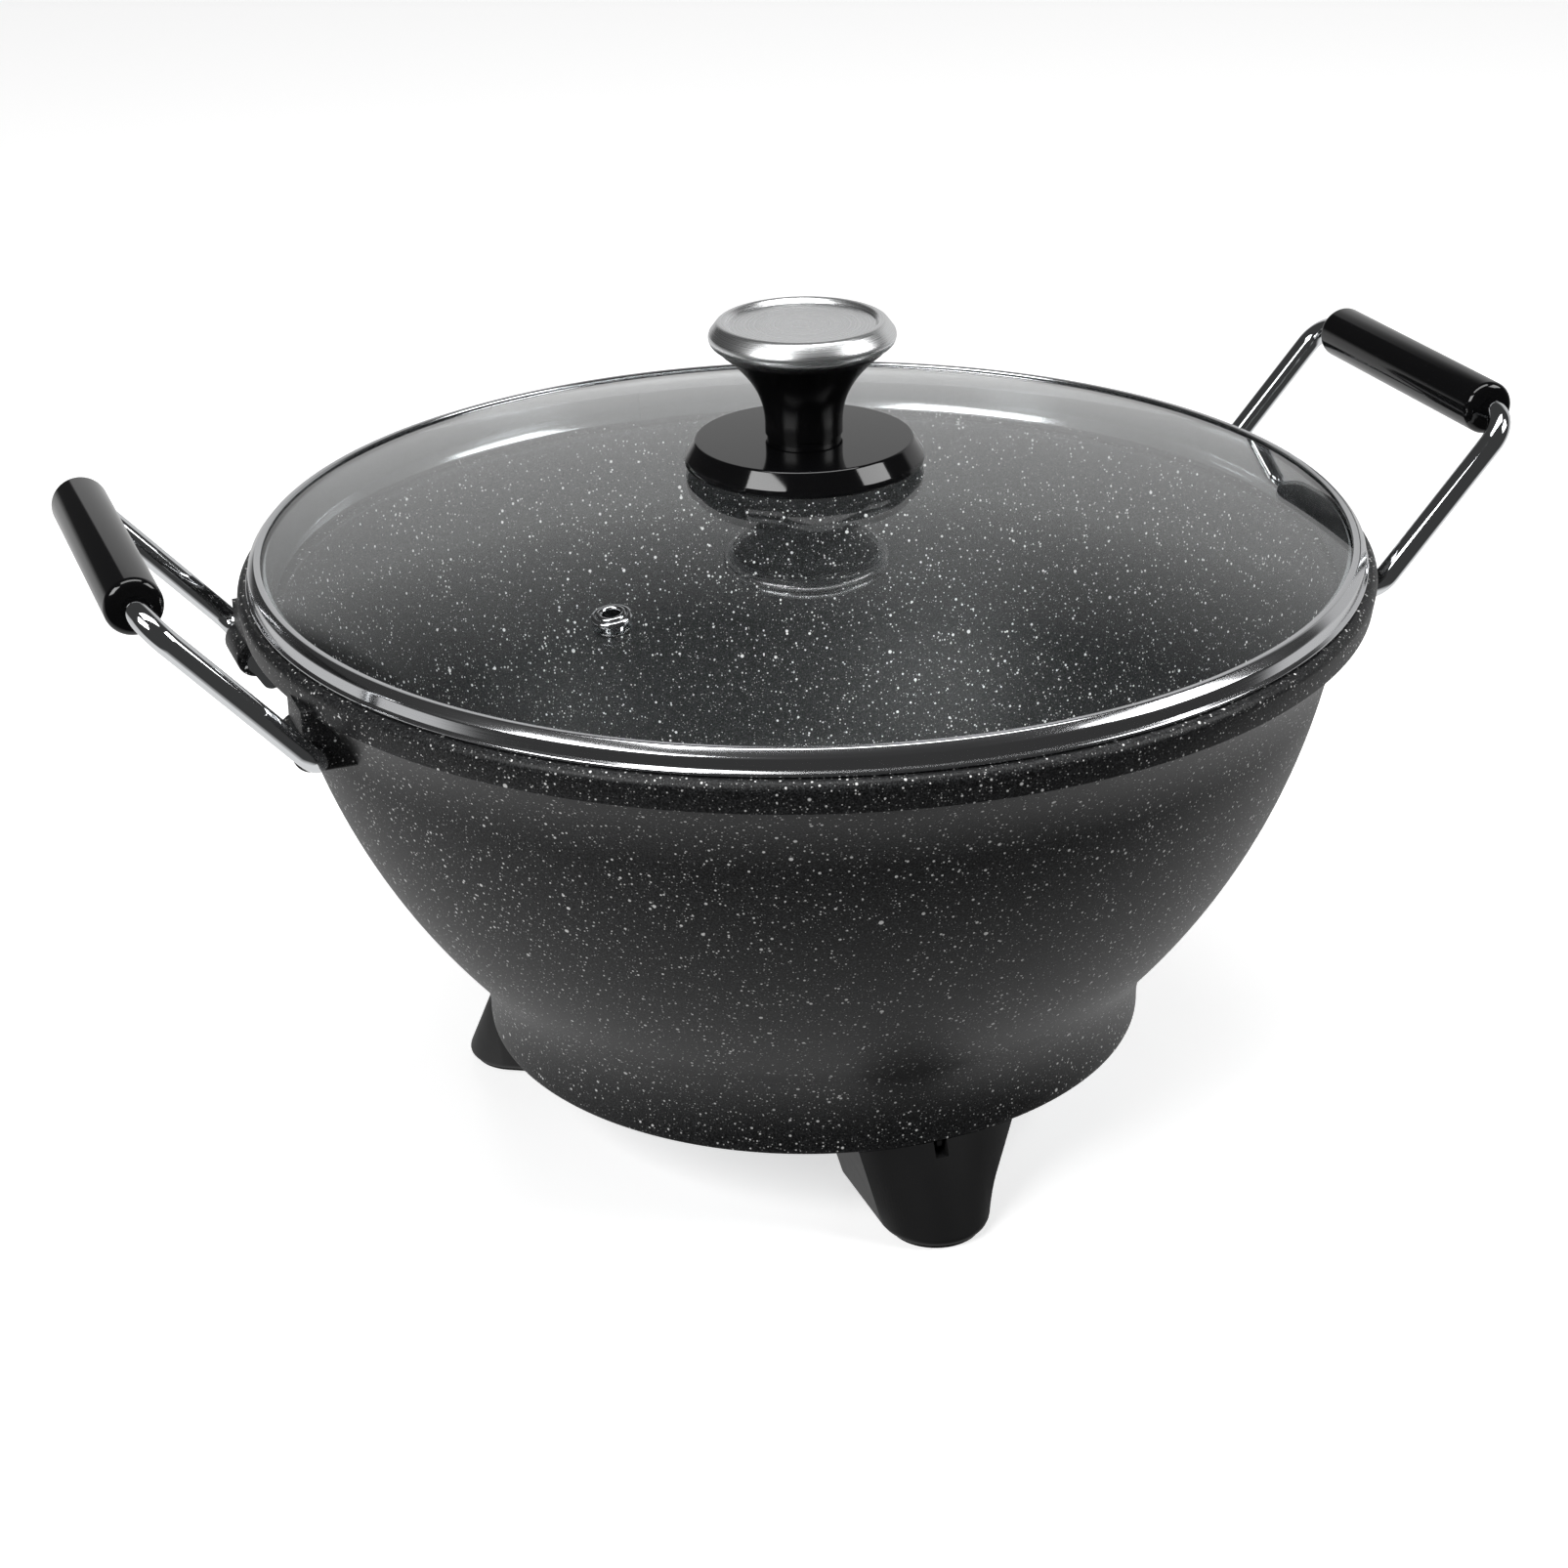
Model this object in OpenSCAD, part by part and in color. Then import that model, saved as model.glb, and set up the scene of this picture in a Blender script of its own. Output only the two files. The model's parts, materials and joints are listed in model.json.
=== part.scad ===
// Electric wok: a cast bowl on three moulded feet, with a lift-off glass lid, two swinging
// wire handles and a rear socket for a plug-in thermostat.
// The origin is on the ground under the middle of the bowl. +X runs along the two handles
// and +Y points to the socket at the rear.

/* [Base] */
// Height of the skirt's lower edge above the ground, which is the height of the feet
foot_h = 33; // [28:0.5:40]
// Height of the bowl's floor above the skirt's lower edge
base_h = 27; // [26:0.5:32]
// Distance from the bowl's mouth in to the skirt's outer face
skirt_inset = 63; // [60:0.5:68]
// Thickness of the skirt's wall
skirt_t = 3.5; // [2.5:0.1:4.5]
// Height of the skirt's upright lip
skirt_lip_h = 3.1; // [2:0.1:8]

/* [Bowl] */
// Depth of the bowl from its rim to its floor
bowl_depth = 134.7; // [128:0.5:145]
// Inner radius of the bowl's mouth
mouth_r = 174; // [171:0.5:180]
// Thickness of the bowl's wall
wall_t = 3.5; // [2.5:0.1:4.5]
// Thickness of the bowl's floor
floor_t = 5; // [3.5:0.1:7]
// Radius of the bowl's inner side curve
bowl_curve_r = 219.1; // [210:0.1:240]
// Height of that curve's centre above the rim
bowl_curve_rise = 14.7; // [8:0.1:20]
// Radius between the bowl's side and its floor
floor_fillet_r = 40; // [30:1:50]
// Width of the step under the lid's skirt
ledge_w = 5.1; // [3.5:0.1:6.5]
// Depth of that step below the rim
ledge_depth = 12.5; // [11.5:0.1:15]
// Width of the flange round the mouth
flange_w = 9; // [8.6:0.1:11]
// Height of the flange's outer band
flange_h = 9.7; // [8:0.1:11]
// Radius of the flange's upper edge
flange_edge_r = 2.8; // [1:0.1:4]
// Depth below the rim where the hollow under the flange leaves the side curve
cove_depth = 33.7; // [31:0.1:40]

/* [Handles] */
// Diameter of the handle wire
rod_d = 7.6; // [6.6:0.1:8.2]
// Angle of a resting handle above the ground
handle_angle = 48.5; // [44:0.5:54]
// Distance from the hinge to the middle of the grip
handle_len = 71.3; // [66:0.1:80]
// Distance between the middles of a handle's two legs
leg_span = 121; // [118:0.5:128]
// Centre-line radius of the bends beside the grip
elbow_r = 10; // [8:0.5:12]
// Centre-line radius of the bends beside the hinge
hook_bend_r = 8; // [6:0.5:9]
// Length of a grip
grip_len = 98; // [90:0.5:99]
// Diameter of a grip
grip_d = 17.6; // [15:0.1:20]
// Radius of a grip's end edges
grip_edge_r = 2.6; // [1:0.1:3.5]
// Distance from the handle's middle to the near side of an ear
ear_near = 30; // [30:0.5:32]
// Width of an ear
ear_w = 20; // [16:0.5:20.4]
// Wall of an ear round its bore
ear_wall = 2.4; // [1.8:0.1:3.4]
// Depth of the hinge below the rim
hinge_depth = 21.7; // [20:0.1:23]
// Thickness of the stop tab on a hook's end
stop_t = 3.5; // [2.5:0.1:3.6]
// Radius of the stop tab's end
stop_r = 3.4; // [2.6:0.1:3.6]
// Drop of the stop tab's end below the hinge
stop_drop = 6; // [5:0.1:7]

/* [Lid] */
// Height of the dome's top above the lid's seat
dome_h = 29; // [26:0.1:33]
// Height of the dome's outer edge above the lid's seat
dome_edge_h = 5.9; // [5.5:0.1:6.3]
// Thickness of the glass
glass_t = 4; // [3:0.1:5]
// Overlap of the lid's lip over the mouth
lip_w = 6; // [5:0.1:7]
// Height of the lid's outer band
band_h = 6; // [5:0.1:6.6]
// Gap between the lid's skirt and the bowl's mouth
skirt_gap = 2.6; // [1.5:0.1:4]
// Depth of the lid's skirt below its seat
lid_skirt_h = 10; // [6:0.1:10.5]
// Thickness of the steel strip
strip_t = 0.7; // [0.5:0.05:1]
// Distance of the steam vent from the lid's middle
vent_at_r = 121.5; // [80:0.5:140]
// Direction of the steam vent
vent_angle = 221.4; // [180:1:260]
// Diameter of the vent's flange
vent_d = 12.4; // [10:0.1:16]
// Diameter of the vent's hole
vent_hole_d = 5.3; // [4:0.1:6]

/* [Knob] */
// Diameter of the disc under the knob
disc_d = 77; // [66:0.5:90]
// Height of the disc
disc_h = 8; // [6.5:0.1:10]
// Height of the knob's stem above the disc
stem_h = 29.8; // [26:0.1:36]
// Diameter of the stem's waist
stem_waist_d = 24.8; // [22:0.1:28]
// Diameter of the stem's upper edge
stem_top_d = 52; // [48:0.5:58]
// Diameter of the metal cap
cap_d = 59.6; // [58.6:0.1:66]
// Height of the metal cap
cap_h = 8.8; // [7:0.1:10]

/* [Feet] */
// Half the width of a foot under the skirt
foot_top_hw = 26.4; // [22:0.1:30]
// Half the width of a foot at the ground, which is the radius of its round end
foot_tip_r = 17.4; // [15:0.1:20]
// Distance that a foot's tip stands out past the skirt
foot_out = 13.2; // [9:0.1:18]
// Distance from the skirt's outer face to a foot's inner end
foot_tuck = 39; // [35:0.5:41]
// Wall of a moulded foot
foot_wall = 2.6; // [2:0.1:3.5]
// Thickness of a foot's top plate
foot_plate = 6; // [4:0.5:8]
// Width of the snap slot in a foot
slot_w = 4.4; // [3:0.1:6]
// Height of the snap slot
slot_h = 5; // [3:0.1:5.5]
// Height of a rubber pad
pad_h = 5; // [3:0.1:7]
// Height that a rubber pad stands out under its foot
pad_proud = 1.2; // [0.6:0.1:2]

/* [Heating] */
// Distance from the skirt's outer face in to the middle of the heating tube
element_inset = 31; // [29:0.5:34]
// Diameter of the heating tube
element_d = 7.5; // [6:0.1:8.5]
// Centre-line radius of the bends at the ring's ends
element_bend_r = 10; // [8:0.5:12]
// Thickness of a clamp strap
strap_t = 1.5; // [1:0.1:2.5]
// Width of a clamp strap
strap_w = 14; // [10:0.5:18]
// Thickness of the base cover
cover_t = 1.2; // [0.8:0.1:2]

/* [Inlet] */
// Width of the inlet housing
inlet_w = 66; // [58:0.5:70]
// Wall of the inlet housing
inlet_wall = 2; // [1.6:0.1:3]
// Distance that the housing stands out of the skirt
inlet_proud = 7; // [3:0.5:12]
// Distance between the two inlet pins
pin_pitch = 33; // [29:0.5:35]
// Diameter of an inlet pin
pin_d = 6; // [5:0.1:7]
// Length of an inlet pin in the socket
pin_len = 20; // [14:0.5:22]
// Outer diameter of the probe sleeve
sleeve_d = 8.4; // [8:0.1:10]
// Bore of the probe sleeve
sleeve_bore_d = 6.6; // [5.6:0.1:7.2]

/* [Fits] */
// Radial running clearance of a handle in its ears
run_gap = 0.06; // [0.03:0.01:0.1]
// Clearance between parts of one body
fit = 0.1; // [0.05:0.01:0.2]
// Gap between the lid and the bowl, and at the handle's stop
rest_gap = 0.3; // [0.2:0.05:0.5]
// Gap between a handle's hook and the bowl's wall
hook_gap = 0.6; // [0.4:0.05:1]

/* [Hidden] */
$fn = 96;

stone = [0.17, 0.17, 0.18];
moulded = [0.10, 0.10, 0.11];
glossy = [0.04, 0.04, 0.05];
bright = [0.78, 0.78, 0.80];
steel = [0.62, 0.62, 0.64];
rubber = [0.07, 0.07, 0.07];
clear = [0.75, 0.82, 0.84, 0.35];

// How far a cut runs past the face that it opens
past = 1;
// Thickness of the slices that a lofted foot is drawn between
slice = 0.02;
// Sides of the curves inside a lofted foot
loft_fn = 48;
// Screws: radius, height and recess radius of each head, and the gap that is left at a screw's end
clamp_head = [3.4, 2.2, 1.2];
cover_head = [4, 2.4, 1.4];
inlet_head = [3.2, 2, 1.2];
foot_head = [3.8, 2.4, 1.4];
knob_head = [5, 3.4, 1.8];
screw_gap = 2;
// Shape of a pan head: its flat top's share of the radius, and its edge's share of the height
pan_top = 0.7;
pan_edge = 0.45;
recess_share = 0.55;

// Heights of the bowl
floor_z = foot_h + base_h;
rim_z = floor_z + bowl_depth;
floor_under_z = floor_z - floor_t;
skirt_r = mouth_r - skirt_inset;
skirt_in_r = skirt_r - skirt_t;
ledge_z = rim_z - ledge_depth;
flange_r = mouth_r + flange_w;
flange_under_z = rim_z - flange_h;
flange_draft = 1;
crease_step = 0.7;
mouth_chamfer = 0.6;

// The bowl's side curve
side_c_z = rim_z + bowl_curve_rise;
side_c = [
    mouth_r - ledge_w - sqrt(bowl_curve_r * bowl_curve_r - pow(side_c_z - ledge_z, 2)),
    side_c_z
];
outer_curve_r = bowl_curve_r + wall_t;

// The curve from the side to the floor
fillet_z = floor_z + floor_fillet_r;
fillet_c = [
    side_c[0] + sqrt(pow(bowl_curve_r - floor_fillet_r, 2) - pow(side_c_z - fillet_z, 2)),
    fillet_z
];
floor_tangent = atan2(fillet_c[1] - side_c[1], fillet_c[0] - side_c[0]);
ledge_tangent = asin((ledge_z - side_c_z) / bowl_curve_r);
under_r = floor_fillet_r + floor_t;
under_end = -acos((skirt_in_r - fillet_c[0]) / under_r);
// The skirt is a ring of its own below this height
skirt_top_z = floor_under_z - 3;

// The hollow curve under the flange leaves the side curve at cove_t and ends at cove_p
cove_tangent = asin((rim_z - cove_depth - side_c_z) / outer_curve_r);
cove_dir = [cos(cove_tangent), sin(cove_tangent)];
cove_t = side_c + outer_curve_r * cove_dir;
cove_p = [flange_r - flange_draft - crease_step, flange_under_z - crease_step];
cove_q = cove_t - cove_p;
cove_r = -(cove_q * cove_q) / (2 * (cove_dir * cove_q));
cove_c = cove_t + cove_r * cove_dir;
cove_from = atan2(cove_p[1] - cove_c[1], cove_p[0] - cove_c[0]);

// The curve from the side curve to the skirt's upright lip
lip_z = foot_h + skirt_lip_h;
to_lip = [skirt_r - side_c[0], lip_z - side_c[1]];
skirt_fillet_r = (to_lip * to_lip - outer_curve_r * outer_curve_r) / (2 * (outer_curve_r - to_lip[0]));
skirt_c = [skirt_r + skirt_fillet_r, lip_z];
skirt_tangent = atan2(skirt_c[1] - side_c[1], skirt_c[0] - side_c[0]);

// The hinge of a handle, placed off the wall by the wire and its gap
rod_r = rod_d / 2;
hinge_bore_r = rod_r + run_gap;
hinge_z = rim_z - hinge_depth;
hook_end = ear_near - rest_gap - stop_t;
diagonal = cos(45);
hook_near_z = hinge_z + rod_r * diagonal;
hook_near_x = sqrt(pow(wall_r(hook_near_z), 2) - hook_end * hook_end);
hinge_x = hook_near_x + rod_r * diagonal + hook_gap;
ear_r = hinge_bore_r + ear_wall;
ear_face = 2.8;
// How far an ear reaches into the bowl's wall, and how far it rises into the flange
ear_in = 20;
ear_up = 2;
leg_y = leg_span / 2;
grip_r = grip_d / 2;

// The stop tab at a hook's end
wall_slope = 17;
stop_z = hinge_z - stop_drop;
stop_wall_x = sqrt(pow(wall_r(stop_z), 2) - hook_end * hook_end);
stop_x = stop_wall_x + (stop_r + rest_gap) / cos(wall_slope);
stop_len = norm([stop_x - hinge_x, stop_drop]);
stop_turn = atan2(stop_z - hinge_z, stop_x - hinge_x);

// The lid
seat_z = rim_z + rest_gap;
lid_r = mouth_r + lip_w;
lid_skirt_r = mouth_r - skirt_gap;
glass_hole_r = 4.2;

// The rolled strip: its lip, its outer band, the fold over the glass and its skirt
lip_step = 0.9;
lip_edge_r = 0.7;
lip_h = 1.8;
seat_in = 0.4;
band_r = lid_r - lip_step;
band_lean = 0.1;
band_edge_r = 1.4;
band_edge_z = seat_z + band_h - 1.2;
glass_r = band_r - strip_t - fit;
dome_rise = dome_h - dome_edge_h;
dome_r = (glass_r * glass_r + dome_rise * dome_rise) / (2 * dome_rise);
dome_c_z = seat_z + dome_h - dome_r;
fold_w = 4.4;
fold_r = band_r - fold_w;
fold_lip = 0.5;
fold_round = 0.6;
skirt_flare = 2;
skirt_turn_h = 1;
skirt_top_r = lid_skirt_r + 1.2;
dome_steps = 30;

// The steam vent
vent_r = vent_d / 2;
vent_hole_r = vent_hole_d / 2;
vent_tilt = asin(vent_at_r / dome_r);
vent_tube_t = 0.9;
vent_stem_r = vent_hole_r + vent_tube_t;
vent_under = 1.6;
vent_sag = 0.05;
vent_bead_r = 1;
vent_bead_h = 0.6;
vent_bead_top = 0.2;
vent_mouth_h = 1.3;
collar_r = vent_r - 0.5;
collar_t = 1.4;
collar_edge_t = 0.8;
collar_round = 1;

// The knob
apex_z = seat_z + dome_h;
disc_r = disc_d / 2;
disc_under_in = 1.2;
disc_foot_in = 0.2;
disc_foot_h = 0.7;
disc_edge_h = 1.5;
disc_lean = 1.4;
disc_lean_h = disc_h * 0.45;
disc_top_in = 3.6;
disc_top_edge_r = 1;
seal_t = 0.5;
disc_z = apex_z + seal_t;
disc_top_z = disc_z + disc_h;
stem_top_z = disc_top_z + stem_h;
groove_h = 1.5;
groove_in = 0.6;
waist_h = 3;
stem_edge_h = 1;
flare_power = 2.2;
flare_steps = 16;
flare_h = stem_h - groove_h - waist_h - stem_edge_h;
cap_r = cap_d / 2;
cap_seat_r = 20;
cap_seat_z = stem_top_z + cap_h * 0.35;
cap_under_in = 1.2;
cap_under_h = cap_h * 0.1;
cap_side_r = 3.4;
cap_side_h = cap_h * 0.38;
cap_edge_r = 3.2;
cap_edge_in = 6;
cap_sunk_in = 9.2;
cap_sunk_z = stem_top_z + cap_h * 0.74;
screw_r = 2.45;
stem_bore_r = screw_r + fit / 2;
disc_bore_r = screw_r + 4 * fit;
screw_len = 30;
washer_t = 1.2;
washer_r = 12;
washer_z = dome_under_z(washer_r) - washer_t;
seal_in_r = 22;
seal_out_r = 34;

// The feet
foot_angles = [-90, 30, 150];
foot_in = skirt_r - foot_tuck;
foot_tip_at = skirt_r + foot_out - foot_tip_r;
foot_chamfer = 1.8;
pad_ledge = 1;
slot_in = skirt_r - 4;
catch_w = slot_w * 0.4;
catch_h = slot_h * 0.45;
catch_l = 3.4;
cover_up = 1.4;
cover_z = foot_h + cover_up;
cover_r = skirt_in_r - 3 * fit;
foot_screw_inset = 19;
foot_screw_at = [skirt_r - foot_screw_inset, 12];
boss_r = 5.5;
pilot_r = 2;
pilot_depth = 14;
cover_dish = 3;
cover_flat_w = 51;
cover_dish_r = skirt_r - cover_flat_w;
dish_slope_w = 5;
vent_step = 30;
vent_slot_at = 30;
vent_slot_l = 18;
vent_slot_w = 3;

// The heating ring and its clamps
element_tube_r = element_d / 2;
element_z = floor_under_z - element_tube_r - fit;
strap_z = element_z - element_tube_r - fit - strap_t;
element_r = skirt_r - element_inset;
strap_l = 27;
strap_hole_in = 9;
strap_in = element_r - strap_l;
strap_hole_at = strap_in + strap_hole_in;
strap_angles = [-30, -90, -150];
clamp_boss_r = 5;
clamp_pilot_r = 1.6;
pin_x = pin_pitch / 2;
element_end = acos((pin_x + element_bend_r) / (element_r + element_bend_r));
bend_c = (element_r + element_bend_r) * [cos(element_end), sin(element_end)];
// Angle that leaves a gap of one fit between the ring and each cold end
ring_end_gap = asin(fit / element_r);

// The inlet
inlet_depth = 21;
inlet_back = skirt_r - inlet_depth;
inlet_front = skirt_r + inlet_proud;
inlet_top = floor_under_z - 4 * fit;
inlet_h = inlet_top - foot_h;
inlet_z = foot_h + inlet_h / 2;
inlet_back_t = 2.5;
inlet_corner_r = 2.5;
inlet_in_corner_r = 1.5;
pin_r = pin_d / 2;
// The pin is thinner where it goes through the housing's back wall
pin_neck_r = pin_r - 0.3;
pin_taper_l = pin_d / 4;
pin_tip_r = pin_r * 0.6;
lug_t = 1.6;
lug_w = 8;
lug_under = pin_r + 0.5;
sleeve_r = sleeve_d / 2;
// How far the probe sleeve reaches in past the housing's back, and out towards its mouth
sleeve_reach = 38;
sleeve_nose = 14;
sleeve_in = inlet_back - sleeve_reach;
sleeve_out = inlet_back + sleeve_nose;
sleeve_end_t = 2;
// The block that holds the sleeve: its length, and its gap to the housing's back
probe_boss_l = 40;
probe_boss_gap = 6;
probe_boss = [inlet_back - probe_boss_gap - probe_boss_l, inlet_back - probe_boss_gap];
probe_boss_w = 16;
probe_boss_under = 3;
probe_boss_z = inlet_z - sleeve_r - probe_boss_under;
tab_r = 5.5;
tab_at = [inlet_w / 2 + tab_r, inlet_back];
tab_t = 3;
tab_drop = 3;
tab_z = inlet_top - tab_drop - tab_t;
tab_boss_r = tab_r - 1;
inlet_pilot_r = 1.5;
inlet_screw_in = 4;

// ---- helpers ----

// Points of an arc about c from angle a to angle b, the first point included
function arc(c, r, a, b, n) = [
    for (i = [0:n], at = a + (b - a) * i / n)
        c + r * [cos(at), sin(at)]
];

// The same arc without its first point, to follow on from another curve
function arc_on(c, r, a, b, n) = [
    for (i = [1:n], at = a + (b - a) * i / n)
        c + r * [cos(at), sin(at)]
];

// Outer radius of the bowl at height z in the hollow under the flange
function wall_r(z) = cove_c[0] - sqrt(cove_r * cove_r - pow(z - cove_c[1], 2));

// Height of the dome's upper face at radius r
function dome_z(r) = dome_c_z + sqrt(dome_r * dome_r - r * r);

// Height of the dome's lower face at radius r
function dome_under_z(r) = dome_c_z + sqrt(pow(dome_r - glass_t, 2) - r * r);

// A cylinder along +Y from the origin
module y_cylinder(r, l) {
    rotate([-90, 0, 0])
        cylinder(r = r, h = l);
}

// A rectangle with round corners, centred
module round_rect(w, h, r) {
    square([w - 2 * r, h], center = true);
    square([w, h - 2 * r], center = true);
    for (sx = [-1, 1], sy = [-1, 1])
        translate([sx * (w / 2 - r), sy * (h / 2 - r)])
            circle(r = r);
}

// A pan-head screw that points up, with the underside of its head at z = 0
module screw(shank_r, shank_l, head) {
    head_r = head[0];
    head_h = head[1];
    difference() {
        union() {
            cylinder(r = shank_r, h = shank_l);
            translate([0, 0, -head_h])
                rotate_extrude()
                    polygon([
                        [0, 0], [head_r * pan_top, 0], [head_r, head_h * pan_edge],
                        [head_r, head_h], [0, head_h]
                    ]);
        }
        translate([0, 0, -head_h - past])
            cylinder(r = head[2], h = head_h * recess_share + past, $fn = 6);
    }
}

// Copies its children to the other side of the XZ plane as well
module both_ends() {
    children();
    mirror([0, 1, 0])
        children();
}

// ---- bowl ----

function bowl_outside() = concat(
    [[0, rim_z], [flange_r - flange_edge_r, rim_z]],
    arc_on([flange_r - flange_edge_r, rim_z - flange_edge_r], flange_edge_r, 90, 0, 6),
    [[flange_r - flange_draft, flange_under_z]],
    arc(cove_c, cove_r, cove_from, 180 + cove_tangent, 12),
    arc_on(side_c, outer_curve_r, cove_tangent, skirt_tangent, 28),
    arc_on(skirt_c, skirt_fillet_r, 180 + skirt_tangent, 180, 12),
    [[skirt_r, foot_h], [0, foot_h]]
);

function bowl_inside() = concat(
    [[0, floor_z]],
    arc(fillet_c, floor_fillet_r, -90, floor_tangent, 14),
    arc_on(side_c, bowl_curve_r, floor_tangent, ledge_tangent, 28),
    [
        [mouth_r, ledge_z], [mouth_r, rim_z - mouth_chamfer], [mouth_r + mouth_chamfer, rim_z],
        [mouth_r + mouth_chamfer, rim_z + past], [0, rim_z + past]
    ]
);

function bowl_underside() = concat(
    [[0, foot_h - past], [skirt_in_r, foot_h - past]],
    arc(fillet_c, under_r, under_end, -90, 8),
    [[0, floor_under_z]]
);

// One ear: a finger cast under the flange, with a round end about the hinge
module ear() {
    translate([0, ear_near + ear_w, 0])
        rotate([90, 0, 0])
            linear_extrude(ear_w) {
                translate([hinge_x, hinge_z])
                    circle(r = ear_r);
                translate([hinge_x - ear_in, hinge_z - ear_r])
                    square([ear_in, ear_r]);
                translate([hinge_x - ear_in, hinge_z])
                    square([ear_in + ear_face, flange_under_z - hinge_z + ear_up]);
            }
}

// A boss under the floor at [x, y], down to height z
module boss(at, r, z) {
    translate([at[0], at[1], z])
        cylinder(r = r, h = floor_under_z + floor_t / 2 - z);
}

// The screw places of one foot, in the foot's own directions
module at_foot_screws() {
    for (a = foot_angles, side = [-1, 1])
        rotate([0, 0, a])
            translate([foot_screw_at[0], side * foot_screw_at[1], 0])
                children();
}

module at_clamps() {
    for (a = strap_angles)
        rotate([0, 0, a])
            translate([strap_hole_at, 0, 0])
                children();
}

module at_inlet_tabs() {
    for (side = [-1, 1])
        translate([side * tab_at[0], tab_at[1], 0])
            children();
}

module wok_bowl() {
    color(stone)
        difference() {
            union() {
                difference() {
                    union() {
                        rotate_extrude($fn = 180)
                            polygon(bowl_outside());
                        for (side = [0, 1])
                            mirror([side, 0, 0])
                                both_ends()
                                    ear();
                    }
                    rotate_extrude($fn = 180)
                        polygon(bowl_inside());
                    rotate_extrude($fn = 180)
                        polygon(bowl_underside());
                    inlet_notch();
                    skirt_zone();
                }
                bowl_bosses();
            }
            for (side = [0, 1])
                mirror([side, 0, 0])
                    both_ends()
                        translate([hinge_x, ear_near - past, hinge_z])
                            y_cylinder(hinge_bore_r, ear_w + 2 * past);
            bowl_pilots();
        }
}

// The ring of space that the skirt takes up
module skirt_zone() {
    rotate_extrude($fn = 180)
        translate([skirt_in_r - fit, foot_h - past])
            square([skirt_r, skirt_top_z - foot_h + past]);
}

// The skirt that carries the bowl: a flared ring, open at the rear for the inlet
module bowl_skirt() {
    color(stone)
        difference() {
            intersection() {
                rotate_extrude($fn = 180)
                    polygon(bowl_outside());
                skirt_zone();
            }
            rotate_extrude($fn = 180)
                polygon(bowl_underside());
            inlet_notch();
        }
}

// The block under the floor that holds the probe sleeve
module sleeve_seat() {
    color(stone)
        difference() {
            translate([-probe_boss_w / 2, probe_boss[0], probe_boss_z])
                cube([probe_boss_w, probe_boss[1] - probe_boss[0], floor_under_z - probe_boss_z]);
            translate([0, sleeve_in, inlet_z])
                y_cylinder(sleeve_r + fit / 2, probe_boss[1]);
        }
}

// The window in the skirt that the inlet housing fills
module inlet_notch() {
    translate([-inlet_w / 2 - fit, inlet_back, foot_h - past])
        cube([inlet_w + 2 * fit, skirt_r, inlet_h + past + fit]);
}

module bowl_bosses() {
    at_foot_screws()
        boss([0, 0], boss_r, cover_z + cover_t);
    at_clamps()
        boss([0, 0], clamp_boss_r, strap_z + strap_t);
    at_inlet_tabs()
        boss([0, 0], tab_boss_r, tab_z + tab_t);
    boss([0, 0], boss_r, cover_z + cover_t - cover_dish);
}

module bowl_pilots() {
    at_foot_screws()
        translate([0, 0, cover_z])
            cylinder(r = pilot_r, h = pilot_depth);
    at_clamps()
        translate([0, 0, strap_z])
            cylinder(r = clamp_pilot_r, h = floor_under_z - strap_z);
    at_inlet_tabs()
        translate([0, 0, tab_z])
            cylinder(r = inlet_pilot_r, h = floor_under_z - tab_z + floor_t / 2);
    translate([0, 0, cover_z - cover_dish])
        cylinder(r = pilot_r, h = pilot_depth);
}

// ---- heating ----

// The ring, and its two cold ends that turn out to the inlet
module heating_element() {
    color(steel)
        translate([0, 0, element_z]) {
            rotate([0, 0, 180 - element_end + ring_end_gap])
                rotate_extrude(angle = 180 + 2 * element_end - 2 * ring_end_gap)
                    translate([element_r, 0])
                        circle(r = element_tube_r);
            for (side = [0, 1])
                mirror([side, 0, 0]) {
                    translate([bend_c[0], bend_c[1], 0])
                        rotate([0, 0, 180])
                            rotate_extrude(angle = element_end)
                                translate([element_bend_r, 0])
                                    circle(r = element_tube_r);
                    translate([pin_x, bend_c[1], 0])
                        y_cylinder(element_tube_r, inlet_back - lug_t - fit - bend_c[1]);
                }
        }
}

module element_clamps() {
    color(steel)
        for (a = strap_angles)
            rotate([0, 0, a])
                difference() {
                    translate([strap_in, -strap_w / 2, strap_z])
                        cube([element_r + element_tube_r - strap_in, strap_w, strap_t]);
                    translate([strap_hole_at, 0, strap_z - past])
                        cylinder(r = clamp_pilot_r + 2 * fit, h = strap_t + 2 * past);
                }
}

module clamp_screws() {
    color(steel)
        at_clamps()
            translate([0, 0, strap_z])
                screw(clamp_pilot_r - fit / 2, floor_under_z - strap_z - screw_gap / 2, clamp_head);
}

// ---- base cover ----

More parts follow.
